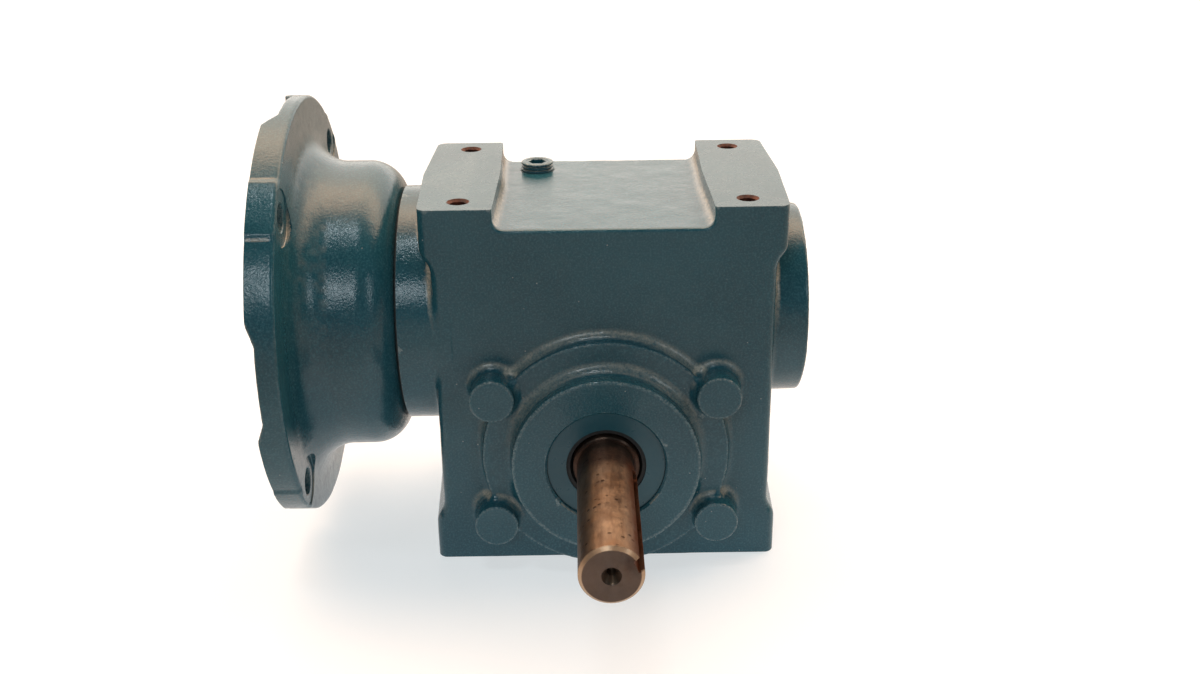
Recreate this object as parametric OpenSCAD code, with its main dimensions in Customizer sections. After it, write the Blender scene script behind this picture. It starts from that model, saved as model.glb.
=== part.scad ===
// Right-angle worm gearbox with a bell-shaped motor adapter.
// Origin: on the base plane, under the output axis, midway between the front and back walls.
// +X points away from the motor, -Y along the output shaft's free end, +Z up.

/* [Gear set] */
// Distance between the worm axis and the output axis
centre_distance = 44.45; // [44.2:0.05:44.7]
// Axial module of the worm
gear_module = 2.2; // [2.15:0.01:2.25]
// Number of teeth on the wheel
wheel_teeth = 30; // [30:1:30]
// Face width of the wheel rim
wheel_width = 16; // [12:1:20]
// Axial play between the worm thread and the wheel teeth
backlash = 0.4; // [0.3:0.05:0.6]
// Length of the threaded part of the worm
worm_length = 46; // [36:1:50]

/* [Housing] */
// Height of the output axis above the base
output_height = 47.2; // [46:0.1:50]
// Overall height to the top pads
housing_height = 144.4; // [143:0.1:148]
// Half width of the body at its front and back faces
body_half_width = 63.6; // [62:0.1:65]
// Half depth from the parting plane to the front face
body_half_depth = 46.5; // [45:0.1:48]
// Casting draft, as extra half width at the parting plane
draft = 1.8; // [0:0.1:3]
// How far the upper feet and pads stand out of the side walls
foot_ledge = 3.7; // [2:0.1:5]
// How far the lower feet stand out of the side walls
lower_ledge = 3; // [2:0.1:5]
// Height of the upper feet above their lower chamfer
upper_foot_height = 18; // [14:0.5:22]
// Height of the lower feet below their upper chamfer
lower_foot_height = 18; // [14:0.5:22]
// Half width of the recess between the top pads
recess_half_width = 39.4; // [36:0.1:42]
// Depth of the recess between the top pads
recess_depth = 8; // [5:0.5:9]
// Mounting hole spacing along the worm axis
mount_spacing_x = 106; // [100:0.5:108]
// Mounting hole spacing along the output axis
mount_spacing_y = 72.6; // [68:0.1:76]
// Radius of the tapped holes in the top pads
top_hole_r = 3.3; // [3:0.1:4]
// Radius of the tapped holes in the base
base_hole_r = 3.5; // [3:0.1:4]

/* [Front hub] */
// Radius of the raised ring round the output hub
ring_r = 47; // [44:0.5:47]
// Distance of the raised ring's face from the parting plane
ring_y = 52.2; // [50:0.1:55]
// Radius of the hub disc
hub_r = 35.6; // [34:0.1:38]
// Distance of the hub disc's face from the parting plane
hub_y = 61.5; // [59:0.1:64]
// Radius of the four cast bosses
boss_r = 8.35; // [7:0.05:9]
// Horizontal place of the cast bosses from the output axis
boss_x = 42.4; // [40:0.1:44]
// Vertical place of the cast bosses from the output axis
boss_z = 26.4; // [25:0.1:30]
// Distance of the boss faces from the parting plane
boss_y = 58.5; // [55:0.1:61]

/* [Worm ends] */
// Radius of the neck that carries the motor adapter
neck_r = 46.5; // [44:0.1:48]
// Distance of the neck's end face from the output axis
neck_x = 77.2; // [76:0.1:79]
// Radius of the tail boss
tail_r = 37.5; // [34:0.1:39]
// Distance of the tail boss's end face from the output axis
tail_x = 77.9; // [77:0.1:80]

/* [Motor adapter] */
// Distance of the motor face from the output axis
motor_face_x = 124.5; // [123:0.1:126]
// Outer radius of the motor flange
flange_r = 82.5; // [81.5:0.1:84]
// Thickness of the motor flange
flange_t = 10.6; // [9:0.1:12]
// Pitch circle diameter of the motor bolts
motor_pcd = 149.2; // [149.2:0.1:149.2]
// Radius of the motor bolt holes
motor_hole_r = 5.2; // [5:0.1:5.6]
// Radius of the motor register
register_r = 57.15; // [57.15:0.01:57.15]
// Radius of the bell at its fullest
bell_r = 56.6; // [55:0.1:58]

/* [Shafts] */
// Radius of the output shaft's free end
shaft_r = 11.11; // [11.11:0.01:11.11]
// Distance of the output shaft's tip from the parting plane
shaft_tip_y = 135.5; // [125:0.5:140]
// Radius of the output shaft's bearing journals
journal_r = 12.5; // [12.5:0.1:12.5]
// Width of the keyways for three-sixteenth keys
key_w = 4.76; // [4.76:0.01:4.76]
// Angle of the output keyway above the horizontal
keyway_angle = 22; // [0:1:90]
// Radius of the motor shaft bore in the worm
quill_bore_r = 7.94; // [7.94:0.01:7.94]
// Outer radius of the hollow end of the worm
quill_r = 15; // [15:0.1:15]
// Depth of the motor shaft bore
quill_bore_l = 52; // [48:1:54]

/* [Hidden] */

$fn = 96;
eps = 0.02;          // gap of a seated fit, too small to see
run_gap = 0.05;      // radial gap of a running fit
ball_gap = 0.08;     // gap between the balls and their tracks

// Axes and gear geometry
worm_z = output_height + centre_distance;
axial_pitch = PI * gear_module;
wheel_pitch_r = gear_module * wheel_teeth / 2;
worm_pitch_r = centre_distance - wheel_pitch_r;
addendum = gear_module;
dedendum = 1.25 * gear_module;
pressure_angle = 20;
lead_angle = atan(axial_pitch / (2 * PI * worm_pitch_r));
worm_tip_r = worm_pitch_r + addendum;
worm_root_r = worm_pitch_r - dedendum;
wheel_tip_r = wheel_pitch_r + addendum;
wheel_root_r = wheel_pitch_r - dedendum;
rim_inner_r = 26;

// Housing cavity and walls
recess_z = housing_height - recess_depth;
cavity_half_x = 52;
cavity_half_y = 38.5;
cavity_floor = 9;
cavity_roof = 122;
cavity_corner_r = 16;
foot_chamfer = 6.5;
edge_r = 2.2;
recess_fillet = 4;
pad_hole_depth = 16;
base_hole_depth = 12;

// Bearings: bore radius, outer radius, width, ball pitch radius, ball radius, number of balls
light_25 = [12.5, 26, 15, 19.25, 3.97, 9];
light_30 = [15, 31, 16, 23, 4.76, 9];
medium_17 = [8.5, 23.5, 14, 16, 4.37, 7];

// Places along the output axis
front_bearing_y = -51;
rear_bearing_y = 36;
output_bearing_w = light_25[2];
seal_y = -60;
seal_w = 7;
seal_r = 22.2;
gasket_t = 0.5;
cover_flange_y = body_half_depth + gasket_t;
cover_flange_t = 8;
pilot_r = 41;
cover_r = 45.5;
cover_ear_r = 10;
shim_t = 0.6;
hub_half_w = 14;
wheel_seat_r = 16;
shoulder_r = 15.4;
wheel_key_w = 8;
wheel_key_h = 7;
wheel_key_l = 22;
journal_front_y = 61;
centre_r = 3.4;
centre_pilot_r = 1.6;
centre_l = 6.5;
shaft_keyway_l = 60;

// Places along the worm axis
input_bearing_x = -72;
tail_bearing_x = 58;
quill_mouth_x = -118;
ring_t = 1.5;
adapter_gap = 0.8;
bell_end_x = neck_x + adapter_gap;
web_t = 11;
web_x = bell_end_x + web_t;
bell_bore_r = 50;
register_depth = 4.2;
spigot_l = 4.2;
input_seal_r = 23.5;
input_seal_w = 8;
adapter_screw_pcr = 38.75;

// Screw sizes, five-sixteenth coarse
screw_r = 3.97;
screw_head_h = 5.4;
hex_head_r = 7.33;
socket_head_r = 5.95;
socket_head_h = 7.9;
lock_washer_t = 1.7;
lock_washer_r = 6.6;

// Pipe plugs: thread radius, depth of the thread grooves, length, and places
plug_r = 6.6;
plug_groove = 0.8;
plug_pitch = 1.41;
plug_l = 11;
plug_short_l = 7.5;
filler_proud = 3.6;
plug_sunk = 0.4;
filler_xy = [-25.8, 33.5];
drain_xy = [26, 22];
level_xz = [40, 105];

// ---------------------------------------------------------------- helpers

// Points along an arc, angles in degrees
function arc(cx, cy, r, a0, a1, n = 8) =
    [for (i = [0:n]) let (a = a0 + (a1 - a0) * i / n) [cx + r * cos(a), cy + r * sin(a)]];

// Outline of a rectangle with round corners, given its low and high corners
function round_rect(x0, y0, x1, y1, r, n = 6) = concat(
    arc(x1 - r, y0 + r, r, -90, 0, n), arc(x1 - r, y1 - r, r, 0, 90, n),
    arc(x0 + r, y1 - r, r, 90, 180, n), arc(x0 + r, y0 + r, r, 180, 270, n));

// Turns a solid made along +Z to lie along +X, at the worm axis
module on_worm_axis(x = 0) {
    translate([x, 0, worm_z]) rotate([0, 90, 0]) children();
}

// Turns a solid made along +Z to lie along +Y, at the output axis
module on_output_axis(y = 0) {
    translate([0, y, output_height]) rotate([-90, 0, 0]) children();
}

// Turns a child about the worm axis
module rotate_about_worm(angle) {
    translate([0, 0, worm_z]) rotate([angle, 0, 0]) children();
}

// A plain tube along +Z
module tube(outer_r, inner_r, length) {
    difference() {
        cylinder(r = outer_r, h = length);
        translate([0, 0, -1]) cylinder(r = inner_r, h = length + 2);
    }
}

// Hexagonal prism given its radius over the corners
module hexagon(corner_r, length) {
    cylinder(r = corner_r, h = length, $fn = 6);
}

// Copies a child to the four corners of a rectangle
module four_corners(x, y) {
    for (sx = [-1, 1], sy = [-1, 1]) translate([sx * x, sy * y, 0]) children();
}

// ---------------------------------------------------------------- housing

// Outline seen from above, widest at the parting plane
module drafted_outline(half_w, half_d) {
    polygon(concat(
        [[half_w + draft, 0]],
        arc(half_w - edge_r, half_d - edge_r, edge_r, 0, 90, 4),
        arc(-half_w + edge_r, half_d - edge_r, edge_r, 90, 180, 4),
        [[-half_w - draft, 0]],
        arc(-half_w + edge_r, -half_d + edge_r, edge_r, 180, 270, 4),
        arc(half_w - edge_r, -half_d + edge_r, edge_r, 270, 360, 4)));
}

// Front profile of the feet and pads of one side, drawn for +X
module foot_profile(inner_x) {
    reach = body_half_width + foot_ledge + draft;
    low_reach = body_half_width + lower_ledge + draft;
    top_z = housing_height - upper_foot_height;
    polygon([[inner_x, 0], [low_reach, 0], [low_reach, lower_foot_height],
        [low_reach - foot_chamfer, lower_foot_height + foot_chamfer],
        [inner_x, lower_foot_height + foot_chamfer]]);
    polygon(concat(
        [[inner_x, top_z - foot_chamfer], [reach - foot_chamfer, top_z - foot_chamfer],
            [reach, top_z], [reach, housing_height],
            [recess_half_width + draft / 2, housing_height]],
        arc(recess_half_width - recess_fillet, recess_z + recess_fillet, recess_fillet, 0, -90, 5),
        [[inner_x, recess_z - 2]]));
}

module housing_block() {
    linear_extrude(height = recess_z) drafted_outline(body_half_width, body_half_depth);
    intersection() {
        linear_extrude(height = housing_height)
            drafted_outline(body_half_width + foot_ledge, body_half_depth);
        for (side = [0, 1])
            mirror([side, 0, 0]) translate([0, body_half_depth, 0]) rotate([90, 0, 0])
                linear_extrude(height = 2 * body_half_depth)
                    foot_profile(recess_half_width - recess_fillet);
    }
}

// Ring, hub disc and cast bosses on the front wall, clipped at the base plane
module front_hub() {
    wall = body_half_depth - 2;
    ring_fillet = 3;
    hub_fillet = 3.4;
    boss_fillet = 2.5;
    ring_edge = 1;
    disc_edge = 0.8;
    boss_edge = 0.9;
    intersection() {
        union() {
            on_output_axis() mirror([0, 0, 1]) rotate_extrude() polygon(concat(
                [[0, wall], [ring_r + ring_fillet, wall]],
                arc(ring_r + ring_fillet, body_half_depth + ring_fillet, ring_fillet, 270, 180, 5),
                arc(ring_r - ring_edge, ring_y - ring_edge, ring_edge, 0, 90, 3),
                arc(hub_r + hub_fillet, ring_y + hub_fillet, hub_fillet, 270, 180, 5),
                arc(hub_r - disc_edge, hub_y - disc_edge, disc_edge, 0, 90, 3),
                [[0, hub_y]]));
            for (sx = [-1, 1], sz = [-1, 1])
                translate([sx * boss_x, 0, output_height + sz * boss_z]) rotate([90, 0, 0])
                    rotate_extrude() polygon(concat(
                        [[0, wall], [boss_r + boss_fillet, wall]],
                        arc(boss_r + boss_fillet, body_half_depth + boss_fillet, boss_fillet,
                            270, 190, 5),
                        arc(boss_r - boss_edge, boss_y - boss_edge, boss_edge, 0, 90, 3),
                        [[0, boss_y]]));
        }
        translate([-body_half_width, -hub_y - 1, 0])
            cube([2 * body_half_width, hub_y, housing_height]);
    }
}

module neck_and_tail() {
    tail_taper = 0.6;
    tail_edge = 1.2;
    tail_l = tail_x - cavity_half_x;
    on_worm_axis(-neck_x) cylinder(r = neck_r, h = neck_x - cavity_half_x);
    on_worm_axis(cavity_half_x) rotate_extrude() polygon(concat(
        [[0, 0], [tail_r + tail_taper, 0]],
        arc(tail_r - tail_edge, tail_l - tail_edge, tail_edge, 0, 90, 3),
        [[0, tail_l]]));
}

module cavity() {
    translate([0, cavity_half_y, 0]) rotate([90, 0, 0]) linear_extrude(height = 2 * cavity_half_y)
        polygon(round_rect(-cavity_half_x, cavity_floor, cavity_half_x, cavity_roof,
            cavity_corner_r));
}

// Bosses inside the cavity that carry the bearings
module bearing_bosses() {
    boss_wall = 6;
    proud = 5;
    on_worm_axis(-cavity_half_x - 2) cylinder(r = light_30[1] + boss_wall, h = proud + 2);
    on_worm_axis(cavity_half_x - proud) cylinder(r = medium_17[1] + boss_wall, h = proud + 2);
    on_output_axis(-cavity_half_y - 1) cylinder(r = light_25[1] + boss_wall, h = proud + 1);
}

// Everything that is bored into the housing along the worm axis
module worm_bores() {
    input_seat = -input_bearing_x - light_30[2];
    tail_seat = tail_bearing_x - 0.2;
    shoulder = 4.5;
    tapped_l = 18;
    on_worm_axis(-neck_x - 1) cylinder(r = light_30[1] + eps, h = neck_x + 1 - input_seat);
    on_worm_axis(-neck_x) cylinder(r = light_30[1] - shoulder, h = neck_x - cavity_half_x + 8);
    on_worm_axis(tail_seat) cylinder(r = medium_17[1] + eps, h = tail_x);
    on_worm_axis(cavity_half_x - 6) cylinder(r = medium_17[1] - shoulder, h = 20);
    on_worm_axis(tail_bearing_x + medium_17[2] + 0.1)
        cylinder(r = medium_17[1] + 1.4, h = ring_t + 0.2);
    for (i = [0:3]) rotate_about_worm(45 + 90 * i)
        translate([-neck_x - 1, 0, adapter_screw_pcr]) rotate([0, 90, 0])
            cylinder(r = screw_r + eps, h = tapped_l + 1);
}

// Everything that is bored into the housing along the output axis
module output_bores() {
    seal_shoulder = 2.2;
    tapped_l = 17;
    on_output_axis(front_bearing_y) cylinder(r = light_25[1] + eps, h = 20);
    on_output_axis(-hub_y - 1) cylinder(r = seal_r + eps, h = hub_y + 1 + seal_y + seal_w);
    on_output_axis(seal_y) cylinder(r = seal_r - seal_shoulder, h = 12);
    on_output_axis(cavity_half_y - 1) cylinder(r = pilot_r + run_gap, h = 12);
    for (sx = [-1, 1], sz = [-1, 1])
        translate([sx * boss_x, body_half_depth - tapped_l, output_height + sz * boss_z])
            rotate([-90, 0, 0]) cylinder(r = screw_r + eps, h = tapped_l + 1);
}

module mounting_holes() {
    translate([0, 0, housing_height - pad_hole_depth])
        four_corners(mount_spacing_x / 2, mount_spacing_y / 2)
            cylinder(r = top_hole_r, h = pad_hole_depth + 1);
    translate([0, 0, -1])
        four_corners(mount_spacing_x / 2, mount_spacing_y / 2)
            cylinder(r = base_hole_r, h = base_hole_depth + 1);
}

module plug_holes() {
    translate([filler_xy[0], filler_xy[1], cavity_roof - 1])
        cylinder(r = plug_r + eps, h = housing_height);
    translate([drain_xy[0], drain_xy[1], -1]) cylinder(r = plug_r + eps, h = cavity_floor + 2);
    translate([level_xz[0], cavity_half_y - 1, level_xz[1]]) rotate([-90, 0, 0])
        cylinder(r = plug_r + eps, h = 20);
}

module housing() {
    color([0.18, 0.27, 0.30]) difference() {
        union() {
            difference() {
                union() {
                    housing_block();
                    front_hub();
                    neck_and_tail();
                }
                cavity();
            }
            bearing_bosses();
        }
        worm_bores();
        output_bores();
        mounting_holes();
        plug_holes();
    }
}

// ---------------------------------------------------------------- rear output cover

// Outline of the cover's flange, with an ear at each bolt
module cover_outline() {
    circle(r = cover_r);
    four_corners(boss_x, boss_z) circle(r = cover_ear_r, $fn = 48);
    difference() {
        square([2 * boss_x, 2 * boss_z + 8], center = true);
        square([2 * boss_x - 8, 2 * boss_z + 10], center = true);
    }
}

module output_cover() {
    reach = cover_flange_y + cover_flange_t;
    blind_y = rear_bearing_y + output_bearing_w + shim_t;
    color([0.18, 0.27, 0.30]) difference() {
        union() {
            on_output_axis(cover_flange_y) linear_extrude(height = cover_flange_t) cover_outline();
            on_output_axis() rotate_extrude() polygon(concat(
                [[0, rear_bearing_y - 1], [light_25[1] + 5, rear_bearing_y - 1],
                    [light_25[1] + 5, cavity_half_y], [pilot_r, cavity_half_y],
                    [pilot_r, cover_flange_y + 1], [hub_r + 3, cover_flange_y + 1]],
                arc(hub_r + 3, reach + 3, 3, 270, 180, 5),
                arc(hub_r - 2, hub_y - 2, 2, 0, 90, 5),
                [[0, hub_y]]));
        }
        on_output_axis(rear_bearing_y - 2) cylinder(r = light_25[1] + eps, h = 2 + blind_y - rear_bearing_y);
        on_output_axis(rear_bearing_y) cylinder(r = light_25[1] - 4, h = blind_y - rear_bearing_y + 3);
        for (sx = [-1, 1], sz = [-1, 1])
            translate([sx * boss_x, cover_flange_y - 1, output_height + sz * boss_z])
                rotate([-90, 0, 0]) cylinder(r = screw_r + 0.3, h = cover_flange_t + 2);
    }
}

module output_cover_gasket() {
    color([0.35, 0.25, 0.18]) on_output_axis(body_half_depth) linear_extrude(height = gasket_t)
        difference() {
            cover_outline();
            circle(r = pilot_r + 0.3);
            four_corners(boss_x, boss_z) circle(r = screw_r + 0.4, $fn = 48);
        }
}

// Places a child at each cover bolt, with +Z pointing out of the cover's face
module at_cover_bolts(y) {
    for (sx = [-1, 1], sz = [-1, 1])
        translate([sx * boss_x, y, output_height + sz * boss_z]) rotate([-90, 0, 0]) children();
}

module output_cover_bolts() {
    color([0.22, 0.30, 0.33])
        at_cover_bolts(cover_flange_y + cover_flange_t + lock_washer_t) hex_bolt(25.4);
}

module hex_bolt(length) {
    intersection() {
        hexagon(hex_head_r, screw_head_h);
        cylinder(r1 = hex_head_r + 3, r2 = hex_head_r - 0.9, h = screw_head_h);
    }
    translate([0, 0, -length]) cylinder(r = screw_r, h = length + 1);
}

module output_cover_washers() {
    color([0.22, 0.30, 0.33])
        at_cover_bolts(cover_flange_y + cover_flange_t) lock_washer();
}

module lock_washer() {
    difference() {
        tube(lock_washer_r, screw_r + 0.15, lock_washer_t);
        translate([screw_r, -0.4, -1]) cube([lock_washer_r, 0.8, lock_washer_t + 2]);
    }
}

// ---------------------------------------------------------------- output shaft and wheel

module output_shaft() {
    tip_chamfer = 1.2;
    rear_end = rear_bearing_y + output_bearing_w - 0.5;
    front_shoulder = front_bearing_y + output_bearing_w;
    color([0.40, 0.30, 0.22]) difference() {
        on_output_axis() rotate([0, 0, -keyway_angle]) rotate_extrude() polygon([
            [0, -shaft_tip_y], [shaft_r - tip_chamfer, -shaft_tip_y],
            [shaft_r, -shaft_tip_y + tip_chamfer], [shaft_r, -journal_front_y],
            [journal_r - 0.5, -journal_front_y], [journal_r, -journal_front_y + 0.5],
            [journal_r, front_shoulder], [shoulder_r, front_shoulder],
            [shoulder_r, -hub_half_w - 4], [wheel_seat_r + 3, -hub_half_w - 4],
            [wheel_seat_r + 3, -hub_half_w], [wheel_seat_r, -hub_half_w],
            [wheel_seat_r, hub_half_w], [journal_r, hub_half_w],
            [journal_r, rear_end - 1], [journal_r - 1, rear_end], [0, rear_end]]);
        on_output_axis() rotate([0, 0, -keyway_angle])
            translate([shaft_r - key_w / 2, -key_w / 2, -shaft_tip_y - 1])
                cube([key_w, key_w, shaft_keyway_l + 1]);
        on_output_axis() rotate([0, 0, -keyway_angle])
            translate([shaft_r - key_w / 2, 0, -shaft_tip_y + shaft_keyway_l]) rotate([0, 90, 0])
                cylinder(r = key_w / 2, h = key_w);
        centre_hole();
        wheel_key_slot(wheel_key_w, wheel_key_l);
    }
}

// Sixty degree centre with a pilot, in the shaft's tip
module centre_hole() {
    cone_l = (centre_r - centre_pilot_r) / tan(30);
    on_output_axis(-shaft_tip_y) rotate_extrude() polygon([
        [0, -1], [centre_r, -1], [centre_r, 0], [centre_pilot_r, cone_l],
        [centre_pilot_r, centre_l], [0, centre_l + centre_pilot_r]]);
}

// Box for the wheel key, centred on the shaft's seat, at the top of the seat
module wheel_key_slot(w, l) {
    translate([-w / 2, -l / 2, output_height + wheel_seat_r - wheel_key_h / 2])
        cube([w, l, wheel_key_h]);
}

module wheel_key() {
    color([0.55, 0.55, 0.56]) wheel_key_slot(wheel_key_w - 2 * eps, wheel_key_l - 2 * eps);
}

// Involute: angle swept by the flank at a radius, in degrees
function involute_angle(r, base_r) =
    r <= base_r ? 0 : let (a = acos(base_r / r)) tan(a) * 180 / PI - a;

// Half angle of a wheel tooth at a radius, in degrees
function tooth_half_angle(r) = let (
    base_r = wheel_pitch_r * cos(pressure_angle),
    half_pitch = 90 / wheel_teeth,
    slack = backlash / 4 / wheel_pitch_r * 180 / PI)
    half_pitch - slack + involute_angle(wheel_pitch_r, base_r) - involute_angle(r, base_r);

// Outline of the toothed wheel, with a tooth space at the bottom of the drawing
module toothed_outline() {
    radii = [wheel_root_r, wheel_root_r + 0.6, wheel_root_r + 1.5, wheel_pitch_r - 0.5,
        wheel_pitch_r + 0.8, wheel_tip_r];
    last = len(radii) - 1;
    polygon([for (t = [0:wheel_teeth - 1], side = [-1, 1], i = [0:last])
        let (r = radii[side < 0 ? i : last - i],
            a = 360 * (t + 0.5) / wheel_teeth - 90 + side * tooth_half_angle(r))
        [r * cos(a), r * sin(a)]]);
}

module worm_wheel_rim() {
    twist_angle = wheel_width * tan(lead_angle) / wheel_pitch_r * 180 / PI;
    color([0.72, 0.53, 0.26]) difference() {
        on_output_axis() rotate([0, 0, -twist_angle / 2])
            linear_extrude(height = wheel_width, center = true, twist = -twist_angle, slices = 4)
                toothed_outline();
        on_output_axis(-wheel_width) cylinder(r = rim_inner_r + eps, h = 2 * wheel_width);
    }
}

module worm_wheel_hub() {
    boss = 21.5;
    color([0.30, 0.30, 0.31]) difference() {
        on_output_axis() rotate_extrude() polygon([
            [0, -hub_half_w], [boss, -hub_half_w], [boss, -wheel_width / 2 + 3],
            [rim_inner_r - 1.5, -wheel_width / 2 + 3], [rim_inner_r - 1.5, -wheel_width / 2],
            [rim_inner_r, -wheel_width / 2], [rim_inner_r, wheel_width / 2],
            [rim_inner_r - 1.5, wheel_width / 2], [rim_inner_r - 1.5, wheel_width / 2 - 3],
            [boss, wheel_width / 2 - 3], [boss, hub_half_w], [0, hub_half_w]]);
        on_output_axis(-hub_half_w - 1) cylinder(r = wheel_seat_r + eps, h = 2 * hub_half_w + 2);
        wheel_key_slot(wheel_key_w, 2 * hub_half_w + 2);
    }
}

module wheel_spacer() {
    color([0.55, 0.56, 0.58]) on_output_axis(hub_half_w)
        tube(journal_r + 3.3, journal_r + eps, rear_bearing_y - hub_half_w);
}

// ---------------------------------------------------------------- ball bearings

module outer_race(b) {
    track_r = b[4] + ball_gap;
    difference() {
        tube(b[1], b[3] + 0.92 * b[4], b[2]);
        translate([0, 0, b[2] / 2]) rotate_extrude() translate([b[3], 0]) circle(r = track_r);
    }
}

module inner_race(b) {
    track_r = b[4] + ball_gap;
    difference() {
        tube(b[3] - 0.92 * b[4], b[0] + eps, b[2]);
        translate([0, 0, b[2] / 2]) rotate_extrude() translate([b[3], 0]) circle(r = track_r);
    }
}

module balls(b) {
    for (i = [0:b[5] - 1]) rotate([0, 0, 360 * i / b[5]]) translate([b[3], 0, b[2] / 2])
        sphere(r = b[4], $fn = 32);
}

module cage(b) {
    cage_w = 2.3 * b[4];
    cage_t = 0.55 * b[4];
    difference() {
        translate([0, 0, (b[2] - cage_w) / 2]) tube(b[3] + cage_t / 2, b[3] - cage_t / 2, cage_w);
        for (i = [0:b[5] - 1]) rotate([0, 0, 360 * i / b[5]]) translate([b[3] - b[4], 0, b[2] / 2])
            rotate([0, 90, 0]) cylinder(r = b[4] + ball_gap, h = 2 * b[4]);
    }
}

race_colour = [0.66, 0.67, 0.69];
ball_colour = [0.80, 0.81, 0.83];
cage_colour = [0.62, 0.55, 0.42];

module front_outer_race() { color(race_colour) on_output_axis(front_bearing_y) outer_race(light_25); }
module front_inner_race() { color(race_colour) on_output_axis(front_bearing_y) inner_race(light_25); }
module front_balls() { color(ball_colour) on_output_axis(front_bearing_y) balls(light_25); }
module front_cage() { color(cage_colour) on_output_axis(front_bearing_y) cage(light_25); }
module rear_outer_race() { color(race_colour) on_output_axis(rear_bearing_y) outer_race(light_25); }
module rear_inner_race() { color(race_colour) on_output_axis(rear_bearing_y) inner_race(light_25); }
module rear_balls() { color(ball_colour) on_output_axis(rear_bearing_y) balls(light_25); }
module rear_cage() { color(cage_colour) on_output_axis(rear_bearing_y) cage(light_25); }
module input_outer_race() { color(race_colour) on_worm_axis(input_bearing_x) outer_race(light_30); }
module input_inner_race() { color(race_colour) on_worm_axis(input_bearing_x) inner_race(light_30); }
module input_balls() { color(ball_colour) on_worm_axis(input_bearing_x) balls(light_30); }
module input_cage() { color(cage_colour) on_worm_axis(input_bearing_x) cage(light_30); }
module tail_outer_race() { color(race_colour) on_worm_axis(tail_bearing_x) outer_race(medium_17); }
module tail_inner_race() { color(race_colour) on_worm_axis(tail_bearing_x) inner_race(medium_17); }
module tail_balls() { color(ball_colour) on_worm_axis(tail_bearing_x) balls(medium_17); }
module tail_cage() { color(cage_colour) on_worm_axis(tail_bearing_x) cage(medium_17); }

module output_shims() {
    color([0.75, 0.72, 0.60]) on_output_axis(rear_bearing_y + output_bearing_w)
        tube(light_25[1] - 0.2, light_25[1] - 3.6, shim_t);
}

// ---------------------------------------------------------------- oil seals

// Metal case of a seal, open towards +Z: an outer wall and a face
module seal_case(outer_r, face_inner_r, w) {
    face_t = 1.6;
    difference() {
        cylinder(r = outer_r, h = w);
        translate([0, 0, -1]) cylinder(r = face_inner_r, h = w + 2);
        translate([0, 0, face_t]) cylinder(r = outer_r - 1.4, h = w);
    }
}

// Rubber body bonded inside the case, with its lip on the shaft
module seal_lip(outer_r, face_inner_r, shaft_radius, w) {
    face_t = 1.6;
    lip = shaft_radius + run_gap;
    rotate_extrude() polygon([
        [lip + 1.1, 0.4], [face_inner_r - eps, 0.4], [face_inner_r - eps, face_t + eps],
        [outer_r - 1.4 - eps, face_t + eps], [outer_r - 1.4 - eps, face_t + 1.4],
        [face_inner_r - 1, face_t + 1.4], [lip + 2.2, w - 0.6], [lip + 0.8, w - 0.6],
        [lip, w - 1.8], [lip + 0.9, 2]]);
}

module output_seal_case() {
    color([0.20, 0.28, 0.31]) on_output_axis(seal_y) seal_case(seal_r, journal_r + 2.6, seal_w);
}

module output_seal_lip() {
    color([0.07, 0.07, 0.07]) on_output_axis(seal_y)
        seal_lip(seal_r, journal_r + 2.6, journal_r, seal_w);
}

module input_seal_case() {
    color([0.45, 0.45, 0.47]) on_worm_axis(-web_x + 1.5)
        seal_case(input_seal_r, quill_r + 2.6, input_seal_w);
}

module input_seal_lip() {
    color([0.07, 0.07, 0.07]) on_worm_axis(-web_x + 1.5)
        seal_lip(input_seal_r, quill_r + 2.6, quill_r, input_seal_w);
}

// ---------------------------------------------------------------- worm

// One trapezoid of the thread, in the plane through the worm axis: [along, radius]
function thread_section() = let (
    half = (axial_pitch / 2 - backlash / 2) / 2,
    root_half = half + dedendum * tan(pressure_angle),
    tip_half = half - addendum * tan(pressure_angle),
    sunk = 0.5)
    [[-root_half - sunk * tan(pressure_angle), worm_root_r - sunk],
        [root_half + sunk * tan(pressure_angle), worm_root_r - sunk],
        [tip_half, worm_tip_r], [-tip_half, worm_tip_r]];

// Helical thread about +Z, centred on z = 0, with a crest pointing to angle `start` at z = 0
module worm_thread(length, start, steps_per_turn = 24) {
    section = thread_section();
    turns = (length - axial_pitch) / axial_pitch;
    steps = round(turns * steps_per_turn);
    points = [for (i = [0:steps], q = section)
        let (t = turns * (i / steps - 0.5), a = start + 360 * t)
        [q[1] * cos(a), q[1] * sin(a), t * axial_pitch + q[0]]];
    last = 4 * steps;
    faces = concat(
        [[0, 1, 2], [0, 2, 3], [last + 2, last + 1, last], [last + 3, last + 2, last]],
        [for (i = [0:steps - 1], k = [0:3], half = [0, 1])
            let (a = 4 * i + k, b = 4 * i + (k + 1) % 4)
            half == 0 ? [b + 4, b, a] : [a + 4, b + 4, a]]);
    polyhedron(points = points, faces = faces, convexity = 10);
}

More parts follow.
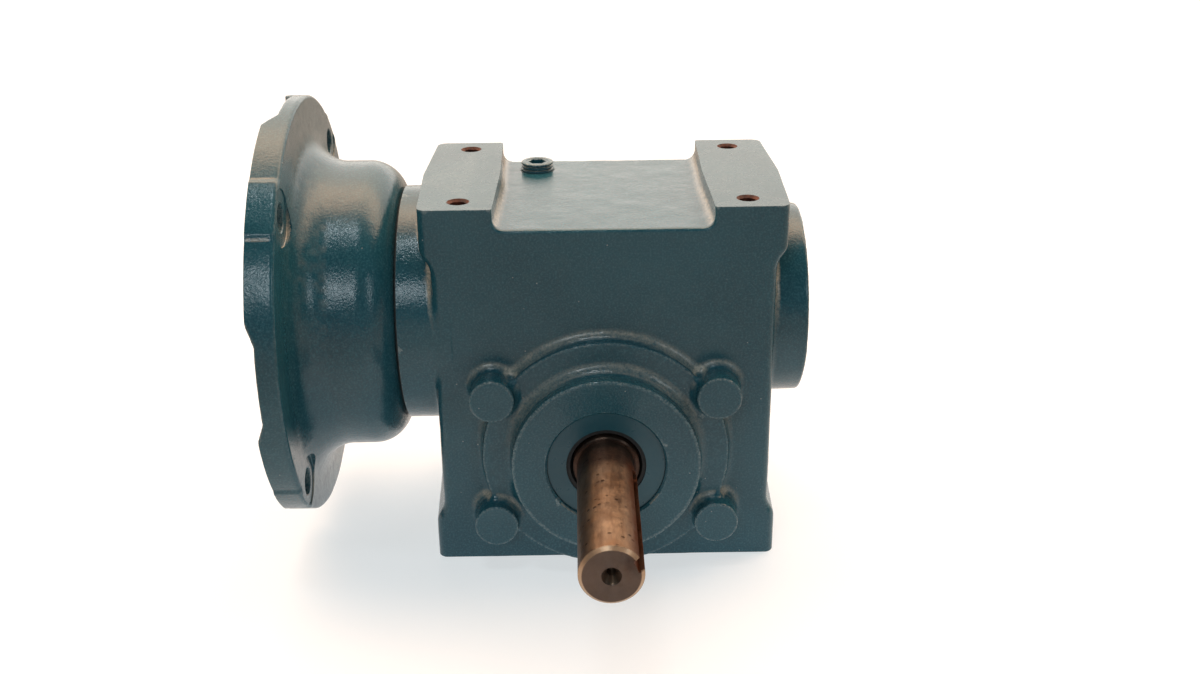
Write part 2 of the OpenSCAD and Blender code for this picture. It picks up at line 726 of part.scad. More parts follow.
module worm() {
    collar_r = 18;
    input_shoulder = input_bearing_x + light_30[2];
    tail_end = tail_bearing_x + medium_17[2] + 0.8;
    color([0.48, 0.48, 0.49]) difference() {
        union() {
            on_worm_axis() rotate_extrude() polygon([
                [0, quill_mouth_x], [quill_r - 1, quill_mouth_x], [quill_r, quill_mouth_x + 1],
                [quill_r, input_shoulder], [collar_r, input_shoulder],
                [collar_r, input_shoulder + 4], [12, input_shoulder + 4], [12, -28],
                [worm_root_r, -25], [worm_root_r, tail_bearing_x - 4],
                [11.5, tail_bearing_x - 4], [11.5, tail_bearing_x],
                [medium_17[0], tail_bearing_x], [medium_17[0], tail_end - 0.8],
                [medium_17[0] - 0.8, tail_end], [0, tail_end]]);
            on_worm_axis() worm_thread(worm_length, 0);
        }
        on_worm_axis(quill_mouth_x - 1) cylinder(r = quill_bore_r, h = quill_bore_l + 1);
        on_worm_axis(quill_mouth_x - 1)
            cylinder(r1 = quill_bore_r + 1.8, r2 = quill_bore_r, h = 1.8);
        translate([quill_mouth_x - 1, -key_w / 2, worm_z])
            cube([quill_bore_l, key_w, quill_bore_r + key_w / 2]);
        on_worm_axis(input_bearing_x - ring_t - 0.2) tube(quill_r + 1, quill_r - 0.8, ring_t + 0.2);
    }
}

// ---------------------------------------------------------------- retaining rings and end cap

// Flat spring ring with an opening, along +Z
module spring_ring(outer_r, inner_r, t, opening) {
    difference() {
        tube(outer_r, inner_r, t);
        translate([0, -opening / 2, -1]) cube([outer_r + 1, opening, t + 2]);
    }
}

module input_retaining_ring() {
    color([0.30, 0.30, 0.31]) on_worm_axis(input_bearing_x - ring_t - 0.1)
        spring_ring(quill_r + 2.6, quill_r - 0.75, ring_t, 6);
}

module tail_retaining_ring() {
    color([0.30, 0.30, 0.31]) on_worm_axis(tail_bearing_x + medium_17[2] + 0.2)
        spring_ring(medium_17[1] + 1.3, medium_17[1] - 3, ring_t, 8);
}

module tail_end_cap() {
    start = tail_bearing_x + medium_17[2] + 2;
    depth = tail_x - 0.6 - start;
    color([0.20, 0.29, 0.32]) on_worm_axis(start) rotate_extrude() polygon([
        [0, 0.8], [medium_17[1] - 3.4, 0.8], [medium_17[1] - 2.6, 0], [medium_17[1] - 0.8, 0],
        [medium_17[1], 0.8], [medium_17[1], depth], [medium_17[1] - 1.6, depth],
        [medium_17[1] - 2.4, 2.4], [0, 2.4]]);
}

// ---------------------------------------------------------------- motor adapter

module motor_adapter() {
    spot_r = 10.5;
    spot_depth = 1.8;
    deep_relief = 4.4;
    shallow_relief = 2.6;
    back = motor_face_x - flange_t;
    color([0.18, 0.27, 0.30]) rotate_about_worm(0) difference() {
        rotate([0, -90, 0]) union() {
            rotate_extrude() polygon(bell_outline());
            for (i = [0:3]) rotate([0, 0, 45 + 90 * i]) ear_pad();
        }
        rotate([0, -90, 0]) {
            for (i = [0:3]) rotate([0, 0, 45 + 90 * i]) translate([motor_pcd / 2, 0, 0]) {
                translate([0, 0, back - 1]) cylinder(r = motor_hole_r, h = flange_t + 2);
                translate([0, 0, back - 12]) cylinder(r = spot_r, h = 12 + spot_depth);
            }
            for (i = [0:3]) rotate([0, 0, 45 + 90 * i]) translate([adapter_screw_pcr, 0, 0])
                translate([0, 0, neck_x - 1]) cylinder(r = screw_r + 0.3, h = web_t + 6);
            for (i = [0:3]) rotate([0, 0, 90 * i])
                face_relief(i % 2 == 0 ? deep_relief : shallow_relief);
        }
    }
}

// Section of the bell in [radius, distance from the output axis towards the motor]
function bell_outline() = let (
    shoulder = 13,
    flare = 9,
    back = motor_face_x - flange_t,
    seal_floor = web_x - 1.5,
    seal_back = seal_floor - input_seal_w)
    concat(
        [[26, neck_x - spigot_l], [light_30[1] - eps, neck_x - spigot_l],
            [light_30[1] - eps, bell_end_x]],
        arc(bell_r - 0.5 - shoulder, bell_end_x - 0.2 + shoulder, shoulder, -76, 0, 8),
        [[bell_r, back - flare - 1.5]],
        arc(bell_r + flare, back - flare, flare, 180, 90, 7),
        [[flange_r - 1.5, back], [flange_r - 0.4, back + 0.4], [flange_r, back + 1.5],
            [flange_r, motor_face_x - 0.8], [flange_r - 0.8, motor_face_x],
            [register_r, motor_face_x], [register_r, motor_face_x - register_depth],
            [bell_bore_r, motor_face_x - register_depth]],
        arc(bell_bore_r - 4, web_x + 4, 4, 0, -90, 4),
        [[input_seal_r + eps, web_x], [input_seal_r + eps, seal_back],
            [22, seal_back], [22, neck_x - 1], [26, neck_x - 2]]);

// Raised pad on the rim at a bolt hole
module ear_pad() {
    proud = 0.7;
    ear_w = 23;
    intersection() {
        translate([motor_pcd / 2, 0, motor_face_x - flange_t / 2])
            cube([30, ear_w, flange_t], center = true);
        translate([0, 0, motor_face_x - flange_t]) tube(flange_r + proud, flange_r - 3, flange_t);
    }
}

// Shallow relief in the motor face, between two ears
module face_relief(depth) {
    half_l = 22;
    floor_half_l = 15;
    translate([register_r + 3, 0, motor_face_x]) rotate([0, 90, 0])
        linear_extrude(height = 40)
            polygon([[-1, -half_l], [-1, half_l], [0, half_l], [depth, floor_half_l],
                [depth, -floor_half_l], [0, -half_l]]);
}

module adapter_gasket() {
    color([0.35, 0.25, 0.18]) on_worm_axis(-bell_end_x) difference() {
        cylinder(r = neck_r - 2, h = adapter_gap);
        translate([0, 0, -1]) cylinder(r = light_30[1] + 0.3, h = 4);
        for (i = [0:3]) rotate([0, 0, 45 + 90 * i]) translate([adapter_screw_pcr, 0, -1])
            cylinder(r = screw_r + 0.4, h = 4, $fn = 48);
    }
}

// Places a child at each adapter screw, with +Z pointing out of the bell
module at_adapter_screws(x) {
    for (i = [0:3]) rotate_about_worm(45 + 90 * i)
        translate([-x, 0, adapter_screw_pcr]) rotate([0, -90, 0]) children();
}

module adapter_screws() {
    color([0.12, 0.12, 0.13]) at_adapter_screws(web_x + lock_washer_t) difference() {
        union() {
            cylinder(r = socket_head_r, h = socket_head_h);
            translate([0, 0, -25.4]) cylinder(r = screw_r, h = 26);
        }
        translate([0, 0, socket_head_h - 4]) hexagon(3.67, 5);
    }
}

module adapter_screw_washers() {
    color([0.45, 0.45, 0.47]) at_adapter_screws(web_x) lock_washer();
}

// ---------------------------------------------------------------- plugs

// Socket pipe plug along +Z, its top at z = 0, with open thread grooves near the top
module pipe_plug(length, grooves) {
    socket_r = 3.67;
    socket_depth = 4.5;
    difference() {
        translate([0, 0, -length]) rotate_extrude() polygon([[0, 0], [plug_r - 1, 0],
            [plug_r, 1], [plug_r, length - 0.6], [plug_r - 0.6, length], [0, length]]);
        for (i = [1:1:grooves]) translate([0, 0, -i * plug_pitch]) rotate_extrude()
            polygon([[plug_r - plug_groove, 0], [plug_r + 1, -0.7], [plug_r + 1, 0.7]]);
        translate([0, 0, -socket_depth]) hexagon(socket_r, socket_depth + 1);
    }
}

module filler_plug() {
    color([0.16, 0.24, 0.26]) translate([filler_xy[0], filler_xy[1], recess_z + filler_proud])
        pipe_plug(plug_l, 2);
}

module drain_plug() {
    color([0.16, 0.24, 0.26]) translate([drain_xy[0], drain_xy[1], plug_sunk]) rotate([180, 0, 0])
        pipe_plug(plug_short_l, 0);
}

module level_plug() {
    color([0.16, 0.24, 0.26]) translate([level_xz[0], body_half_depth - plug_sunk, level_xz[1]])
        rotate([-90, 0, 0]) pipe_plug(plug_short_l, 0);
}

// ---------------------------------------------------------------- assembly

housing();
output_cover();
output_cover_gasket();
output_cover_bolts();
output_cover_washers();
output_shaft();
worm_wheel_rim();
worm_wheel_hub();
wheel_key();
wheel_spacer();
front_outer_race();
front_inner_race();
front_balls();
front_cage();
rear_outer_race();
rear_inner_race();
rear_balls();
rear_cage();
output_shims();
output_seal_case();
output_seal_lip();
worm();
input_outer_race();
input_inner_race();
input_balls();
input_cage();
tail_outer_race();
tail_inner_race();
tail_balls();
tail_cage();
input_retaining_ring();
tail_retaining_ring();
tail_end_cap();
input_seal_case();
input_seal_lip();
motor_adapter();
adapter_gasket();
adapter_screws();
adapter_screw_washers();
filler_plug();
drain_plug();
level_plug();
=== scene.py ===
"""Looks of the worm gearbox.

Cast housing, motor adapter and rear cover, plugs, finishes of every node, floor, light and camera.
"""

import math

import bpy
import numpy as np
from mathutils import Matrix, Vector


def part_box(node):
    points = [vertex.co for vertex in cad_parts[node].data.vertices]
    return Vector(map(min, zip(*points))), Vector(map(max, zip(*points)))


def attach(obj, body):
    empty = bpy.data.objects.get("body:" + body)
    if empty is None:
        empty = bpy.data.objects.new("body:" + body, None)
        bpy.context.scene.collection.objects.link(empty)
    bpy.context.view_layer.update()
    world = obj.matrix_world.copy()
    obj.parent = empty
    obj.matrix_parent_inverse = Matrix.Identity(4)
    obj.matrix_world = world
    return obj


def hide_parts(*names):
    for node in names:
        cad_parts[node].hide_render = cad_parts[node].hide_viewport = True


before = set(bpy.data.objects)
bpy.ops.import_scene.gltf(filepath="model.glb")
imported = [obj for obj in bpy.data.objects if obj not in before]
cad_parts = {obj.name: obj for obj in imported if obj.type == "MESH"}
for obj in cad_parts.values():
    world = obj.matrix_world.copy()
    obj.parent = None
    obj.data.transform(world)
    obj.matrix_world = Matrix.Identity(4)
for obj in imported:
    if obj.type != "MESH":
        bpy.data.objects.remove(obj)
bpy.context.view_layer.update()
MM = 0.001


def box_mm(node):
    """Lowest and highest corner of a CAD node, in millimetres."""
    low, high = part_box(node)
    return np.array(low) / MM, np.array(high) / MM


def level_radius(low, high):
    """Radius of a round node whose axis is level."""
    return (high[2] - low[2]) / 2


# ---------------------------------------------------------------- sizes, in millimetres
# Read from the frame
house_low, house_high = box_mm("housing")
adapter_low = box_mm("motor_adapter")[0]
seal_low, seal_high = box_mm("output_seal_case")
cap_low, cap_high = box_mm("tail_end_cap")
input_race_low, input_race_high = box_mm("input_outer_race")
tail_race_low, tail_race_high = box_mm("tail_outer_race")
front_race_low, front_race_high = box_mm("front_outer_race")
rear_race_low, rear_race_high = box_mm("rear_outer_race")
plug_low, plug_high = box_mm("filler_plug")
drain_low, drain_high = box_mm("drain_plug")
level_low, level_high = box_mm("level_plug")

INPUT_RACE_R = level_radius(input_race_low, input_race_high)
TAIL_RACE_R = level_radius(tail_race_low, tail_race_high)
FRONT_RACE_R = level_radius(front_race_low, front_race_high)
REAR_RACE_R = level_radius(rear_race_low, rear_race_high)
OUTPUT_SEAL_R = level_radius(seal_low, seal_high)
OUTPUT_Z = (seal_low[2] + seal_high[2]) / 2
WORM_Z = (input_race_low[2] + input_race_high[2]) / 2
TOP_Z = house_high[2]
NECK_X = -house_low[0]
TAIL_X = house_high[0]
HUB_Y = -house_low[1]
BODY_D = house_high[1]
PLUG_R = (plug_high[0] - plug_low[0]) / 2
PLUG_XY = ((plug_low[0] + plug_high[0]) / 2, (plug_low[1] + plug_high[1]) / 2)
DRAIN_XY = ((drain_low[0] + drain_high[0]) / 2, (drain_low[1] + drain_high[1]) / 2)
LEVEL_X, LEVEL_Z = (level_low[0] + level_high[0]) / 2, (level_low[2] + level_high[2]) / 2
MOTOR_X = -adapter_low[0]

# Housing: the same driving sizes as in the CAD source
RECESS_Z = TOP_Z - 8.0
BODY_W, DRAFT = 63.6, 1.8
UPPER_LEDGE, LOWER_LEDGE = 3.7, 3.0
FOOT_H, FOOT_CHAMFER = 18.0, 6.5
RECESS_W = 39.4
RING_R, RING_Y = 47.0, 52.2
HUB_R = 35.6
BOSS_R, BOSS_X, BOSS_Z, BOSS_Y = 8.35, 42.4, 26.4, 58.5
NECK_R, TAIL_R = 46.5, 37.5
CAVITY_X, CAVITY_Y, CAVITY_LOW, CAVITY_HIGH, CAVITY_R = 52.0, 38.5, 9.0, 122.0, 16.0
HOLE_X, HOLE_Y = 53.0, 36.3
PAD_HOLE_L, BASE_HOLE_L = 16.0, 12.0
PAD_HOLE_R, BASE_HOLE_R = 3.5, 3.7
SCREW_R = 3.97
RING_FILLET, HUB_FILLET, BOSS_FILLET, NECK_FILLET, TAIL_FILLET = 3.8, 4.4, 3.2, 1.8, 2.6
ROOT_Y, ROOT_X = 40, 58     # where bosses, neck and tail start, inside the walls

# Motor adapter
FLANGE_R, FLANGE_T = 82.5, 10.6
BELL_R, BELL_BORE_R, BELL_END = 56.6, 50.0, NECK_X + 0.8
WEB_X = BELL_END + 11.0
REGISTER_R, REGISTER_L = 57.15, 4.2
BOLT_R, BOLT_CIRCLE_R = 5.2, 74.6
SCREW_CIRCLE_R = 38.75
FLANGE_FILLET, BELL_EDGE = 14.0, 13.5
SPOT_FACE_R, SPOT_FACE_L = 10.2, 0.4
INPUT_SEAL_R, INPUT_SEAL_W = 23.5, 8.0

# Rear cover
COVER_Y, COVER_T, COVER_R, EAR_R = 47.0, 8.0, 45.5, 10.0
COVER_SPOT_R = 7.6
PILOT_R = 41.0

# Output shaft
KEYWAY_DEG = 22.0

# Making
STOCK = 1.5         # left on machined faces until they are cut
SEAT_GAP = 0.02     # round seated parts
DRILL_GAP = 0.3     # round screws that pass through
THREAD_PITCH = 1.27
FAR = 200.0         # beyond every casting
CELL, QUICK_CELL = 0.95, 1.6
COVER_CELL, QUICK_COVER_CELL = 0.75, 1.4
HOUSING_TRIANGLES, ADAPTER_TRIANGLES = 185000, 180000

# ---------------------------------------------------------------- distance fields, in millimetres
# A field is negative inside a solid. Edges and corners get true radii from the two functions below.


def join(a, b, r):
    """Union with a concave fillet of radius r."""
    return np.maximum(r, np.minimum(a, b)) - np.hypot(np.maximum(r - a, 0), np.maximum(r - b, 0))


def trim(a, b, r):
    """Intersection with a convex edge of radius r."""
    return np.minimum(-r, np.maximum(a, b)) + np.hypot(np.maximum(r + a, 0), np.maximum(r + b, 0))


def blend_step(v, low, high):
    """Smooth step from 0 at low to 1 at high."""
    t = np.clip((v - low) / (high - low), 0, 1)
    return t * t * (3 - 2 * t)


_rng = np.random.default_rng(11)
_lattice = _rng.random((32, 32, 32)).astype(np.float32) * 2 - 1


def value_noise(x, y, z, size):
    """Smooth repeatable noise from -1 to 1, with features of about the given size."""
    total = 0.0
    px, py, pz = x / size + 100, y / size + 100, z / size + 100
    ix, iy, iz = (np.floor(v).astype(int) for v in (px, py, pz))
    fx, fy, fz = (blend_step(v - i, 0, 1) for v, i in ((px, ix), (py, iy), (pz, iz)))
    for dx in (0, 1):
        for dy in (0, 1):
            for dz in (0, 1):
                weight = (fx if dx else 1 - fx) * (fy if dy else 1 - fy) * (fz if dz else 1 - fz)
                total = total + weight * _lattice[(ix + dx) % 32, (iy + dy) % 32, (iz + dz) % 32]
    return total


def sand_casting(x, y, z):
    """How far a cast skin wanders from its pattern."""
    return 0.09 * value_noise(x, y, z, 9.0) + 0.035 * value_noise(y, z, x, 3.1)


def housing_field(x, y, z):
    """Housing casting, with stock on its machined faces."""
    ax, ay = np.abs(x), np.abs(y)
    spread = DRAFT * (1 - ay / BODY_D)
    side = BODY_W + spread
    body = trim(ax - side, z - RECESS_Z, 1.2)

    high_reach = BODY_W + UPPER_LEDGE + spread
    under = ((ax - high_reach) - (z - (TOP_Z - FOOT_H))) / math.sqrt(2)
    pad = trim(trim(ax - high_reach, under, 2.0), RECESS_W + 0.9 * (1 - spread / DRAFT) - ax, 0.4)
    pad = np.maximum(pad, (TOP_Z - FOOT_H - FOOT_CHAMFER) - z)

    low_reach = BODY_W + LOWER_LEDGE + spread
    over = ((ax - low_reach) + (z - FOOT_H)) / math.sqrt(2)
    foot = np.maximum(trim(trim(ax - low_reach, over, 2.0), z - FOOT_H - FOOT_CHAMFER, 0.5), 50 - ax)

    profile = join(join(body, pad, np.where(ax < 52, 4.2, 2.2)), foot, 2.2)
    corner = 1.3 + 2.4 * blend_step(ax, 50, 60)
    shell = trim(profile, ay - BODY_D, corner)

    r_out = np.hypot(x, z - OUTPUT_Z)
    behind = y + ROOT_Y
    ring = np.maximum(trim(r_out - RING_R, -y - RING_Y, 0.7), behind)
    disc = np.maximum(trim(r_out - HUB_R, -y - HUB_Y, 0.6), behind)
    boss_r = np.hypot(ax - BOSS_X, np.abs(z - OUTPUT_Z) - BOSS_Z)
    boss = np.maximum(trim(boss_r - BOSS_R, -y - BOSS_Y, 0.6), behind)
    shell = join(shell, ring, RING_FILLET)
    shell = join(shell, disc, HUB_FILLET)
    shell = join(shell, boss, BOSS_FILLET)

    r_worm = np.hypot(y, z - WORM_Z)
    neck = np.maximum(np.maximum(r_worm - NECK_R, x + ROOT_X), -x - NECK_X - STOCK)
    tail_r = TAIL_R + 0.6 * (TAIL_X - x) / (TAIL_X - CAVITY_X)
    tail = np.maximum(trim(r_worm - tail_r, x - TAIL_X, 1.2), ROOT_X - x)
    shell = join(shell, neck, NECK_FILLET)
    shell = join(shell, tail, TAIL_FILLET)
    shell = np.maximum(shell, np.maximum(z - TOP_Z, -z) - STOCK)
    return shell + sand_casting(x, y, z) * blend_step(TOP_Z + 1 - z, 0, 2)


def adapter_field(x, y, z):
    """Motor adapter casting: bell, flange with four ears, and a relief between the ears."""
    s, dz = -x, z - WORM_Z
    r = np.hypot(y, dz)
    back = MOTOR_X - FLANGE_T
    bell = trim(r - BELL_R, BELL_END - s, BELL_EDGE)
    angle = np.degrees(np.arctan2(dz, y)) % 90 - 45
    across = np.radians(angle) * r
    rim = FLANGE_R + 0.7 * (1 - blend_step(np.abs(across), 9.9, 12.3))
    flange = trim(r - rim, back - s, 1.6)
    solid = join(bell, flange, FLANGE_FILLET)
    solid = np.maximum(solid, s - MOTOR_X - STOCK)

    depth = np.where(np.abs(dz) > np.abs(y), 4.4, 2.6)
    lateral = np.minimum(np.abs(y), np.abs(dz))
    radial = np.maximum(np.abs(y), np.abs(dz))
    ramp = depth * np.clip((22 - lateral) / 7, -1, 1)
    relief = np.maximum((MOTOR_X - ramp - s) * 0.87, REGISTER_R + 3 - radial)
    solid = trim(solid, -relief, 0.9)
    solid = solid + sand_casting(x, y, z) * 0.9
    return np.maximum(solid, np.maximum(np.abs(y), np.abs(dz)) - FLANGE_R)


def cover_field(x, y, z):
    """Rear cover casting: round flange with four ears, and a hub."""
    ax, az = np.abs(x), np.abs(z - OUTPUT_Z)
    r = np.hypot(x, z - OUTPUT_Z)
    ear = np.hypot(ax - BOSS_X, az - BOSS_Z) - EAR_R
    bar = np.maximum(np.abs(ax - BOSS_X) - 4, az - BOSS_Z - 4)
    outline = join(join(r - COVER_R, ear, 8.0), bar, 6.0)
    face = COVER_Y + COVER_T
    flange = np.maximum(trim(outline, y - face, 1.4), COVER_Y - STOCK - y)
    hub = np.maximum(trim(r - HUB_R, y - HUB_Y, 2.2), COVER_Y - STOCK - y)
    spot = np.hypot(ax - BOSS_X, az - BOSS_Z) - COVER_SPOT_R
    solid = join(flange, hub, 3.6) + sand_casting(x, y, z)
    return np.maximum(solid, -np.maximum(spot, face - 0.02 - y))


# ---------------------------------------------------------------- from fields to meshes


def gradient(field, p, h=0.02):
    """Slope of a field at each point, by central differences."""
    out = np.empty_like(p)
    for k in range(3):
        step = np.zeros(3)
        step[k] = h
        out[:, k] = (field(*(p + step).T) - field(*(p - step).T)) / (2 * h)
    return out


def grid_lines(low, high, cell, fine=(), fine_cell=0.5):
    """Grid planes from low to high, closer together inside the fine ranges."""
    at, lines = low - 2.2 * cell, []
    while at < high + 2.2 * cell:
        lines.append(at)
        at += fine_cell if any(a <= at < b for a, b in fine) else cell
    return np.array(lines)


def skin(field, *axes):
    """Quads on the field's zero surface, with one vertex in each grid cell that it crosses.

    The vertices are then moved onto the surface.
    """
    longest_move = 0.6
    shape = tuple(len(a) for a in axes)
    values = np.empty(shape, np.float32)
    for i in range(0, shape[0], 16):
        grid = np.meshgrid(axes[0][i:i + 16], axes[1], axes[2], indexing="ij")
        values[i:i + 16] = field(*grid)
    inside = values < 0

    corner = np.zeros(tuple(n - 1 for n in shape), np.int8)
    for dx in (0, 1):
        for dy in (0, 1):
            for dz in (0, 1):
                corner += inside[dx:shape[0] - 1 + dx, dy:shape[1] - 1 + dy, dz:shape[2] - 1 + dz]
    crossed = (corner > 0) & (corner < 8)
    cells = np.argwhere(crossed)
    number = np.full(crossed.shape, -1, np.int64)
    number[crossed] = np.arange(len(cells))

    total, count = np.zeros((len(cells), 3)), np.zeros(len(cells))
    for axis in range(3):
        for a in (0, 1):
            for b in (0, 1):
                start = cells.copy()
                start[:, (axis + 1) % 3] += a
                start[:, (axis + 2) % 3] += b
                end = start.copy()
                end[:, axis] += 1
                v0, v1 = values[tuple(start.T)], values[tuple(end.T)]
                cut = (v0 < 0) != (v1 < 0)
                share = np.where(cut, v0 / np.where(cut, v0 - v1, 1), 0)
                point = start.astype(float)
                point[:, axis] += share
                total += np.where(cut[:, None], point, 0)
                count += cut
    steps = total / np.maximum(count, 1)[:, None]
    points = np.stack([np.interp(steps[:, k], np.arange(shape[k]), axes[k]) for k in range(3)], 1)
    for _ in range(3):
        value, slope = field(*points.T), gradient(field, points)
        move = value[:, None] * slope / np.maximum((slope ** 2).sum(1), 0.2)[:, None]
        length = np.linalg.norm(move, axis=1, keepdims=True)
        points -= move * np.minimum(1, longest_move / np.maximum(length, 1e-9))

    quads = []
    for axis in range(3):
        u, v = (axis + 1) % 3, (axis + 2) % 3
        first = inside[tuple(slice(1, -1) if k != axis else slice(0, -1) for k in range(3))]
        second = inside[tuple(slice(1, -1) if k != axis else slice(1, None) for k in range(3))]
        for flips, edge in ((False, first & ~second), (True, ~first & second)):
            at = np.argwhere(edge)
            at[:, u] += 1
            at[:, v] += 1
            ring = []
            for du, dv in ((-1, -1), (0, -1), (0, 0), (-1, 0)):
                c = at.copy()
                c[:, u] += du
                c[:, v] += dv
                ring.append(number[tuple(c.T)])
            quad = np.stack(ring, 1)
            quads.append(quad[:, ::-1] if flips else quad)
    return points, np.concatenate(quads)


def mesh_object(name, points, faces, smooth=True):
    mesh = bpy.data.meshes.new(name)
    mesh.from_pydata([tuple(p) for p in np.asarray(points) * MM], [], [tuple(f) for f in faces])
    mesh.validate()
    mesh.update()
    mesh.polygons.foreach_set("use_smooth", [smooth] * len(mesh.polygons))
    made = bpy.data.objects.new(name, mesh)
    bpy.context.scene.collection.objects.link(made)
    return made


def quad_mesh_object(name, points, quads):
    """mesh_object for a large array of quads."""
    mesh = bpy.data.meshes.new(name)
    mesh.vertices.add(len(points))
    mesh.vertices.foreach_set("co", (points * MM).astype(np.float32).ravel())
    mesh.loops.add(len(quads) * 4)
    mesh.loops.foreach_set("vertex_index", quads.astype(np.int32).ravel())
    mesh.polygons.add(len(quads))
    mesh.polygons.foreach_set("loop_start", np.arange(0, len(quads) * 4, 4, dtype=np.int32))
    mesh.polygons.foreach_set("loop_total", np.full(len(quads), 4, np.int32))
    mesh.update(calc_edges=True)
    made = bpy.data.objects.new(name, mesh)
    bpy.context.scene.collection.objects.link(made)
    return made


def settle(obj):
    """Applies the object's modifiers."""
    bpy.context.view_layer.update()
    done = bpy.data.meshes.new_from_object(obj.evaluated_get(bpy.context.evaluated_depsgraph_get()))
    obj.modifiers.clear()
    old, obj.data = obj.data, done
    bpy.data.meshes.remove(old)
    return obj


def cut(obj, *cutters, how="DIFFERENCE"):
    for cutter in cutters:
        step = obj.modifiers.new("cut", "BOOLEAN")
        step.operation = how
        step.solver = "MANIFOLD"
        step.object = cutter
        settle(obj)
        bpy.data.objects.remove(cutter)
    return obj


ALONG_X = Matrix.Rotation(math.radians(90), 4, "Y")
ALONG_MINUS_X = Matrix.Rotation(math.radians(-90), 4, "Y")
ALONG_Y = Matrix.Rotation(math.radians(-90), 4, "X")
UPSIDE_DOWN = Matrix.Rotation(math.pi, 4, "X")
UPRIGHT = Matrix.Identity(4)
AT_WORM, AT_OUTPUT = (0, 0, WORM_Z), (0, 0, OUTPUT_Z)


def place(obj, turn, at):
    """Turns the mesh, then moves it to a point in millimetres."""
    obj.data.transform(Matrix.Translation(Vector(at) * MM) @ turn)
    obj.data.update()
    return obj


def turned(name, profile, turn=UPRIGHT, at=(0, 0, 0), steps=96):
    """Solid of revolution about its own +Z.

    The profile is [radius, height] from the axis round to the axis.
    """
    points, faces, rows = [], [], []
    for r, h in profile:
        if r < 1e-6:
            rows.append([len(points)] * steps)
            points.append((0, 0, h))
        else:
            rows.append(list(range(len(points), len(points) + steps)))
            points += [(r * math.cos(2 * math.pi * i / steps), r * math.sin(2 * math.pi * i / steps), h)
                       for i in range(steps)]
    for a, b in zip(rows, rows[1:], strict=False):
        for i in range(steps):
            j = (i + 1) % steps
            face = [a[i], a[j], b[j], b[i]]
            faces.append([v for k, v in enumerate(face) if v not in face[:k]])
    return place(mesh_object(name, points, [f for f in faces if len(f) > 2]), turn, at)


def drill(r, low, high, turn=UPRIGHT, at=(0, 0, 0), steps=64):
    """Cylinder between two heights, for cutting or adding."""
    return turned("cutter", [(0, low), (r, low), (r, high), (0, high)], turn, at, steps)


def slab(low, high):
    """Box between two corners, for cutting."""
    (x0, y0, z0), (x1, y1, z1) = low, high
    points = [(x, y, z) for x in (x0, x1) for y in (y0, y1) for z in (z0, z1)]
    faces = [(0, 1, 3, 2), (4, 6, 7, 5), (0, 4, 5, 1), (2, 3, 7, 6), (0, 2, 6, 4), (1, 5, 7, 3)]
    return mesh_object("cutter", points, faces, smooth=False)


def threaded(r, depth, turn, at):
    """Cutter for a tapped hole: rings of thread below a countersunk mouth, with a drill point."""
    mouth, pitch = 0.7, THREAD_PITCH
    crest, root = r - 0.3, r + 0.35
    rows = [(0, -depth - 2), (crest, -depth - 0.8), (crest, -depth)]
    for i in range(int((depth - 1.2) / pitch)):
        h = -depth + i * pitch
        rows += [(crest, h + 0.1 * pitch), (root, h + 0.45 * pitch), (root, h + 0.6 * pitch)]
    rows += [(crest, -mouth - 0.3), (r + mouth, 0), (r + mouth, 1), (0, 1)]
    return turned("cutter", rows, turn, at, 48)


def finish_casting(obj, sharp_deg=33):
    """Smooth shading with sharp machined edges."""
    mesh = obj.data
    mesh.polygons.foreach_set("use_smooth", [True] * len(mesh.polygons))
    mesh.set_sharp_from_angle(angle=math.radians(sharp_deg))
    weigh = obj.modifiers.new("weigh", "WEIGHTED_NORMAL")
    weigh.keep_sharp = True
    weigh.weight = 60
    return settle(obj)


def thin_out(obj, quads, triangles):
    """Brings a mesh of quads down to a number of triangles."""
    step = obj.modifiers.new("thin", "DECIMATE")
    step.ratio = min(1.0, triangles / (2 * len(quads)))
    return settle(obj)


def quarters():
    """Signs of the four corners of a bolt pattern."""
    return [(sx, sz) for sx in (-1, 1) for sz in (-1, 1)]


# ---------------------------------------------------------------- housing casting


